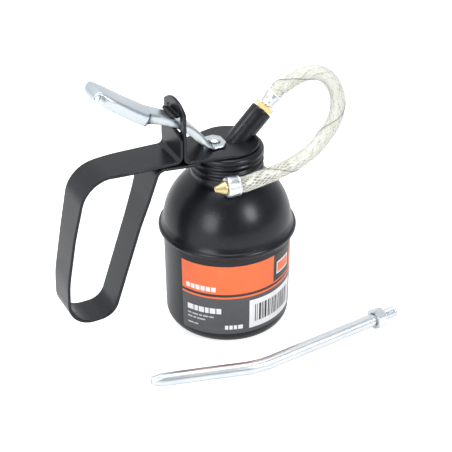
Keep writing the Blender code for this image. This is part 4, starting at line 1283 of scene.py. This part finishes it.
def makeSpare(sizes):
    line, stubStart, second = makeSpareLine(sizes)
    length = sum((b - a).length for a, b in zip(line, line[1:]))
    stubAt = length - sizes["stub"]
    radius, stub, edge, endEdge = (sizes[key] for key in ("radius", "stubRadius", "edge", "endEdge"))

    def outer(distance, angle):
        if distance < sizes["crimpLength"]:     # crimped tip, pressed in from four sides
            share, tip = min(1.0, distance / sizes["crimpLength"]), sizes["crimpRadius"]
            squeezed = tip + (radius - tip) * math.sin(share * math.pi / 2)
            dented = max(0.0, math.cos(4 * angle + 0.6)) ** 2
            return squeezed - sizes["crimpDent"] * (1 - share) * dented
        if distance < stubAt - 0.02:
            return radius - edge[0] * max(0.0, 1.0 - (stubAt - distance) / edge[1])
        past = distance - stubAt
        left = sizes["stub"] - past
        tooth = abs((past / sizes["thread"] - angle / math.tau) % 1.0 - 0.5) * 2
        fade = max(0.0, min(1.0, left / 1.0, (past - sizes["threadFrom"]) / 0.6))
        return stub - sizes["threadDepth"] * tooth * fade - endEdge[0] * max(0.0, 1.0 - left / endEdge[1])

    mesh = sweptMesh("spareSpout", line, outer, lambda d, a: sizes["bore"])
    # the spare and its nut take the brighter zinc copy: painted light for the darker world their faces
    # reflect
    addPiece("spareSpout", mesh, "spare", paleAndLitZinc, ["spare_spout"], sharp=40)
    low, high = sizes["nutLow"], sizes["nutLow"] + sizes["nutThick"]
    hole = stub + gap
    profile = [(hole, high - 0.3), (hole + 0.3, high)] + hexRows(sizes["nutFlats"], low, high)
    profile += [(hole + 0.3, low), (hole, low + 0.3)]
    nut = latheMesh("spareNut", profile, 96, hexReshape(sizes["nutFlats"], low, high))
    standAlong(nut, stubStart, second, sizes["nutTurn"])
    addPiece("spareNut", nut, "spare", paleAndLitZinc, ["spare_nut"], sharp=25)


makeSpare(spareSizes)
print("spare spout made")


# printed label on the cup: fields of colour, plain bars and stripes

labelSizes = {
    "facing": -117.0,       # degrees, towards the camera
    "lift": 0.10,
    "layer": 0.03,
    "thick": 0.06,
    "tilt": 1.2,            # degrees, the right end higher
    "tiltAbout": 20.0,
}
labelColors = {
    "orange": (0.86, 0.155, 0.042),
    "grey": (0.072, 0.074, 0.080),
    "black": (0.018, 0.018, 0.020),
    "white": (0.80, 0.80, 0.81),
    "pale": (0.55, 0.55, 0.56),
}
printLook = {"rough": 0.4, "cloudScale": 240.0, "faded": 0.9,
             "grainScale": 900.0, "grain": 0.06, "grainDepth": 0.03}
labelRows = [       # name, left, right or the widths of bars in degrees, low, high, layer, print
    ("labelGround", -44.3, 112.0, 7.6, 48.0, 0, "grey"),
    ("labelOrange", -44.3, 46.0, 31.5, 48.0, 1, "orange"),
    ("labelPanel", 46.0, 74.0, 31.5, 48.0, 1, "black"),
    ("labelOrangeEnd", 74.0, 112.0, 31.5, 48.0, 1, "orange"),
    ("labelDarkLine", -44.3, 112.0, 30.0, 31.5, 1, "black"),
    ("labelPanelLine", 46.0, 74.0, 31.5, 32.2, 2, "orange"),
    ("labelLine", -44.3, 112.0, 28.9, 30.0, 1, "orange"),
    ("labelFrame", 50.0, 69.0, 35.8, 43.0, 2, "white"),
    ("labelSquare", 51.0, 68.0, 36.7, 42.1, 3, "orange"),
    ("figureBars", -39.3, (4.0,) * 6, 32.9, 35.6, 3, "white"),
    ("titleBars", -38.3, (6.4, 3.4, 5.2, 3.4, 5.2, 4.4), 19.8, 23.0, 3, "white"),
    ("textBars", -38.3, (4.0, 6.0, 3.0, 5.0, 4.0), 17.2, 18.0, 3, "pale"),
    ("textBarsLow", -38.3, (5.0, 3.0, 8.0), 15.0, 15.8, 3, "pale"),
    ("textBarsLast", -38.3, (6.0, 4.0), 11.4, 12.2, 3, "pale"),
    ("sizeBars", -2.0, (3.0, 3.0, 3.0, 4.4), 10.4, 12.8, 3, "white"),
    ("labelWhite", 20.5, 76.0, 9.8, 26.5, 1, "white"),
]
stripeSizes = {
    "seed": 4,
    "left": 26.0,           # degrees
    "right": 70.0,
    "low": 13.2,
    "high": 23.4,
    "widths": (0.6, 0.9, 1.4, 2.0),
    "gaps": (0.8, 1.1, 1.6),
}


def makePrint(name, color, look):
    material, tree, shader = newMaterial(name + "Print", color, 0.0, look["rough"])
    faded = tuple(c * look["faded"] for c in color)
    cloud = mottle(tree, look["cloudScale"], 0.3, 0.7)
    link(tree, mixColor(tree, cloud, color, faded), shader.inputs["Base Color"])
    bump(tree, shader, noise(tree, look["grainScale"]), look["grain"], look["grainDepth"] * mm)
    return material


labelPrints = {name: makePrint(name, color, printLook) for name, color in labelColors.items()}


def labelPoint(angle, height, lift):
    share = (height - canSizes["corner"]) / (canSizes["rimHeight"] - canSizes["corner"])
    radius = canSizes["footRadius"] + (canSizes["rimRadius"] - canSizes["footRadius"]) * share + lift
    around = math.radians(labelSizes["facing"] + angle)
    height += math.radians(labelSizes["tilt"]) * radius * math.radians(angle - labelSizes["tiltAbout"])
    return (radius * math.cos(around), radius * math.sin(around), height)


def labelPatch(name, left, right, low, high, layer, color):
    # a thin curved rectangle of print, one layer over another
    outside = labelSizes["lift"] + labelSizes["layer"] * layer
    inside = outside - labelSizes["thick"]
    section = ((low, inside), (low, outside), (high, outside), (high, inside))
    bm = bmesh.new()
    columns = max(1, math.ceil((right - left) / 2.5))
    grid = []
    for i in range(columns + 1):
        angle = left + (right - left) * i / columns
        grid.append([bm.verts.new(labelPoint(angle, height, lift)) for height, lift in section])
    for a, b in zip(grid, grid[1:]):
        for j in range(4):
            k = (j + 1) % 4
            bm.faces.new((a[j], b[j], b[k], a[k]))
    bm.faces.new(grid[0])
    bm.faces.new(grid[-1])
    return addPiece(name, meshFrom(name, bm), "reservoir", labelPrints[color])


def makeLabel(rows, stripes):
    for name, left, right, *rest in rows:
        if not isinstance(right, tuple):
            labelPatch(name, left, right, *rest)
            continue
        for i, width in enumerate(right):       # a row of plain bars, one degree apart
            labelPatch(f"{name}{i}", left, left + width, *rest)
            left += width + 1.0
    picker = random.Random(stripes["seed"])
    angle = stripes["left"]
    while angle < stripes["right"]:
        width = picker.choice(stripes["widths"])
        name = "stripe%02d" % round(angle)
        labelPatch(name, angle, angle + width, stripes["low"], stripes["high"], 2, "black")
        angle += width + picker.choice(stripes["gaps"])


makeLabel(labelRows, stripeSizes)
print("label made")


# floor, world and lamps

floorLook = {"size": 6.0, "color": (0.80, 0.80, 0.80), "lift": 0.65, "mirrored": 0.15}


def makeFloor(look):
    bm = bmesh.new()
    bmesh.ops.create_grid(bm, x_segments=1, y_segments=1, size=look["size"] / 2)
    mesh = meshFrom("floor", bm, 1.0)
    material, tree, shader = newMaterial("floorPaper", look["color"], 0.0, 0.9)
    shader.inputs["Specular IOR Level"].default_value = 0.0
    path = tree.nodes.new("ShaderNodeLightPath")
    seen = mathNode(tree, "MAXIMUM", path.outputs["Is Camera Ray"], path.outputs["Is Transmission Ray"])
    seen = mathNode(tree, "MULTIPLY", seen, look["lift"])
    mirrored = mathNode(tree, "MULTIPLY", path.outputs["Is Glossy Ray"], look["mirrored"])
    glow = tree.nodes.new("ShaderNodeEmission")
    glow.inputs["Color"].default_value = (1, 1, 1, 1)
    link(tree, mathNode(tree, "ADD", seen, mirrored), glow.inputs["Strength"])
    both = tree.nodes.new("ShaderNodeAddShader")
    link(tree, shader.outputs[0], both.inputs[0])
    link(tree, glow.outputs[0], both.inputs[1])
    link(tree, both.outputs[0], tree.nodes["Material Output"].inputs["Surface"])
    mesh.materials.append(material)
    floor = bpy.data.objects.new("floor", mesh)
    scene.collection.objects.link(floor)


worldLook = {
    "front": 0.36,
    "frontAt": -0.5,        # Y of a direction
    "back": 1.0,
    "backAt": 0.6,
    "tint": (0.96, 0.98, 1.0),
    "camera": 1.0,
}


def makeWorld(look):
    # pale studio: bright behind and above the can, darker behind the camera
    world = bpy.data.worlds.new("studio")
    scene.world = world
    world.use_nodes = True
    tree = world.node_tree
    tree.nodes.clear()
    split = tree.nodes.new("ShaderNodeSeparateXYZ")
    link(tree, tree.nodes.new("ShaderNodeTexCoord").outputs["Generated"], split.inputs[0])
    depths, levels = (look["frontAt"], look["backAt"]), (look["front"], look["back"])
    strength = mapRange(tree, split.outputs["Y"], *depths, *levels)
    room = tree.nodes.new("ShaderNodeBackground")
    room.inputs["Color"].default_value = (*look["tint"], 1.0)
    link(tree, strength, room.inputs["Strength"])
    seen = tree.nodes.new("ShaderNodeBackground")
    seen.inputs["Color"].default_value = (1, 1, 1, 1)
    seen.inputs["Strength"].default_value = look["camera"]
    path = tree.nodes.new("ShaderNodeLightPath")
    mix = tree.nodes.new("ShaderNodeMixShader")
    link(tree, path.outputs["Is Camera Ray"], mix.inputs[0])
    link(tree, room.outputs[0], mix.inputs[1])
    link(tree, seen.outputs[0], mix.inputs[2])
    link(tree, mix.outputs[0], tree.nodes.new("ShaderNodeOutputWorld").inputs["Surface"])


lamps = [       # name, place, height aimed at, size, power
    ("softTop", (-0.1, 0.1, 1.2), 0.05, (0.9, 0.9), 8.0),
    ("softLeft", (-0.93, -0.58, 0.44), 0.06, (0.45, 0.6), 5.6),
    ("softShoulder", (-0.84, 0.24, 0.76), 0.08, (0.3, 0.3), 2.6),
    ("softRight", (0.36, -0.88, 0.62), 0.06, (0.26, 0.42), 5.4),
]


def areaLamp(name, place, aim, size, power):
    data = bpy.data.lights.new(name, "AREA")
    data.shape = "RECTANGLE"
    data.size, data.size_y = size
    data.energy = power
    lamp = bpy.data.objects.new(name, data)
    scene.collection.objects.link(lamp)
    lamp.location = place
    back = Vector(place) - Vector((0, 0, aim))
    lamp.rotation_euler = back.to_track_quat("Z", "Y").to_euler()


makeFloor(floorLook)
makeWorld(worldLook)
for lamp in lamps:
    areaLamp(*lamp)
print("studio made")
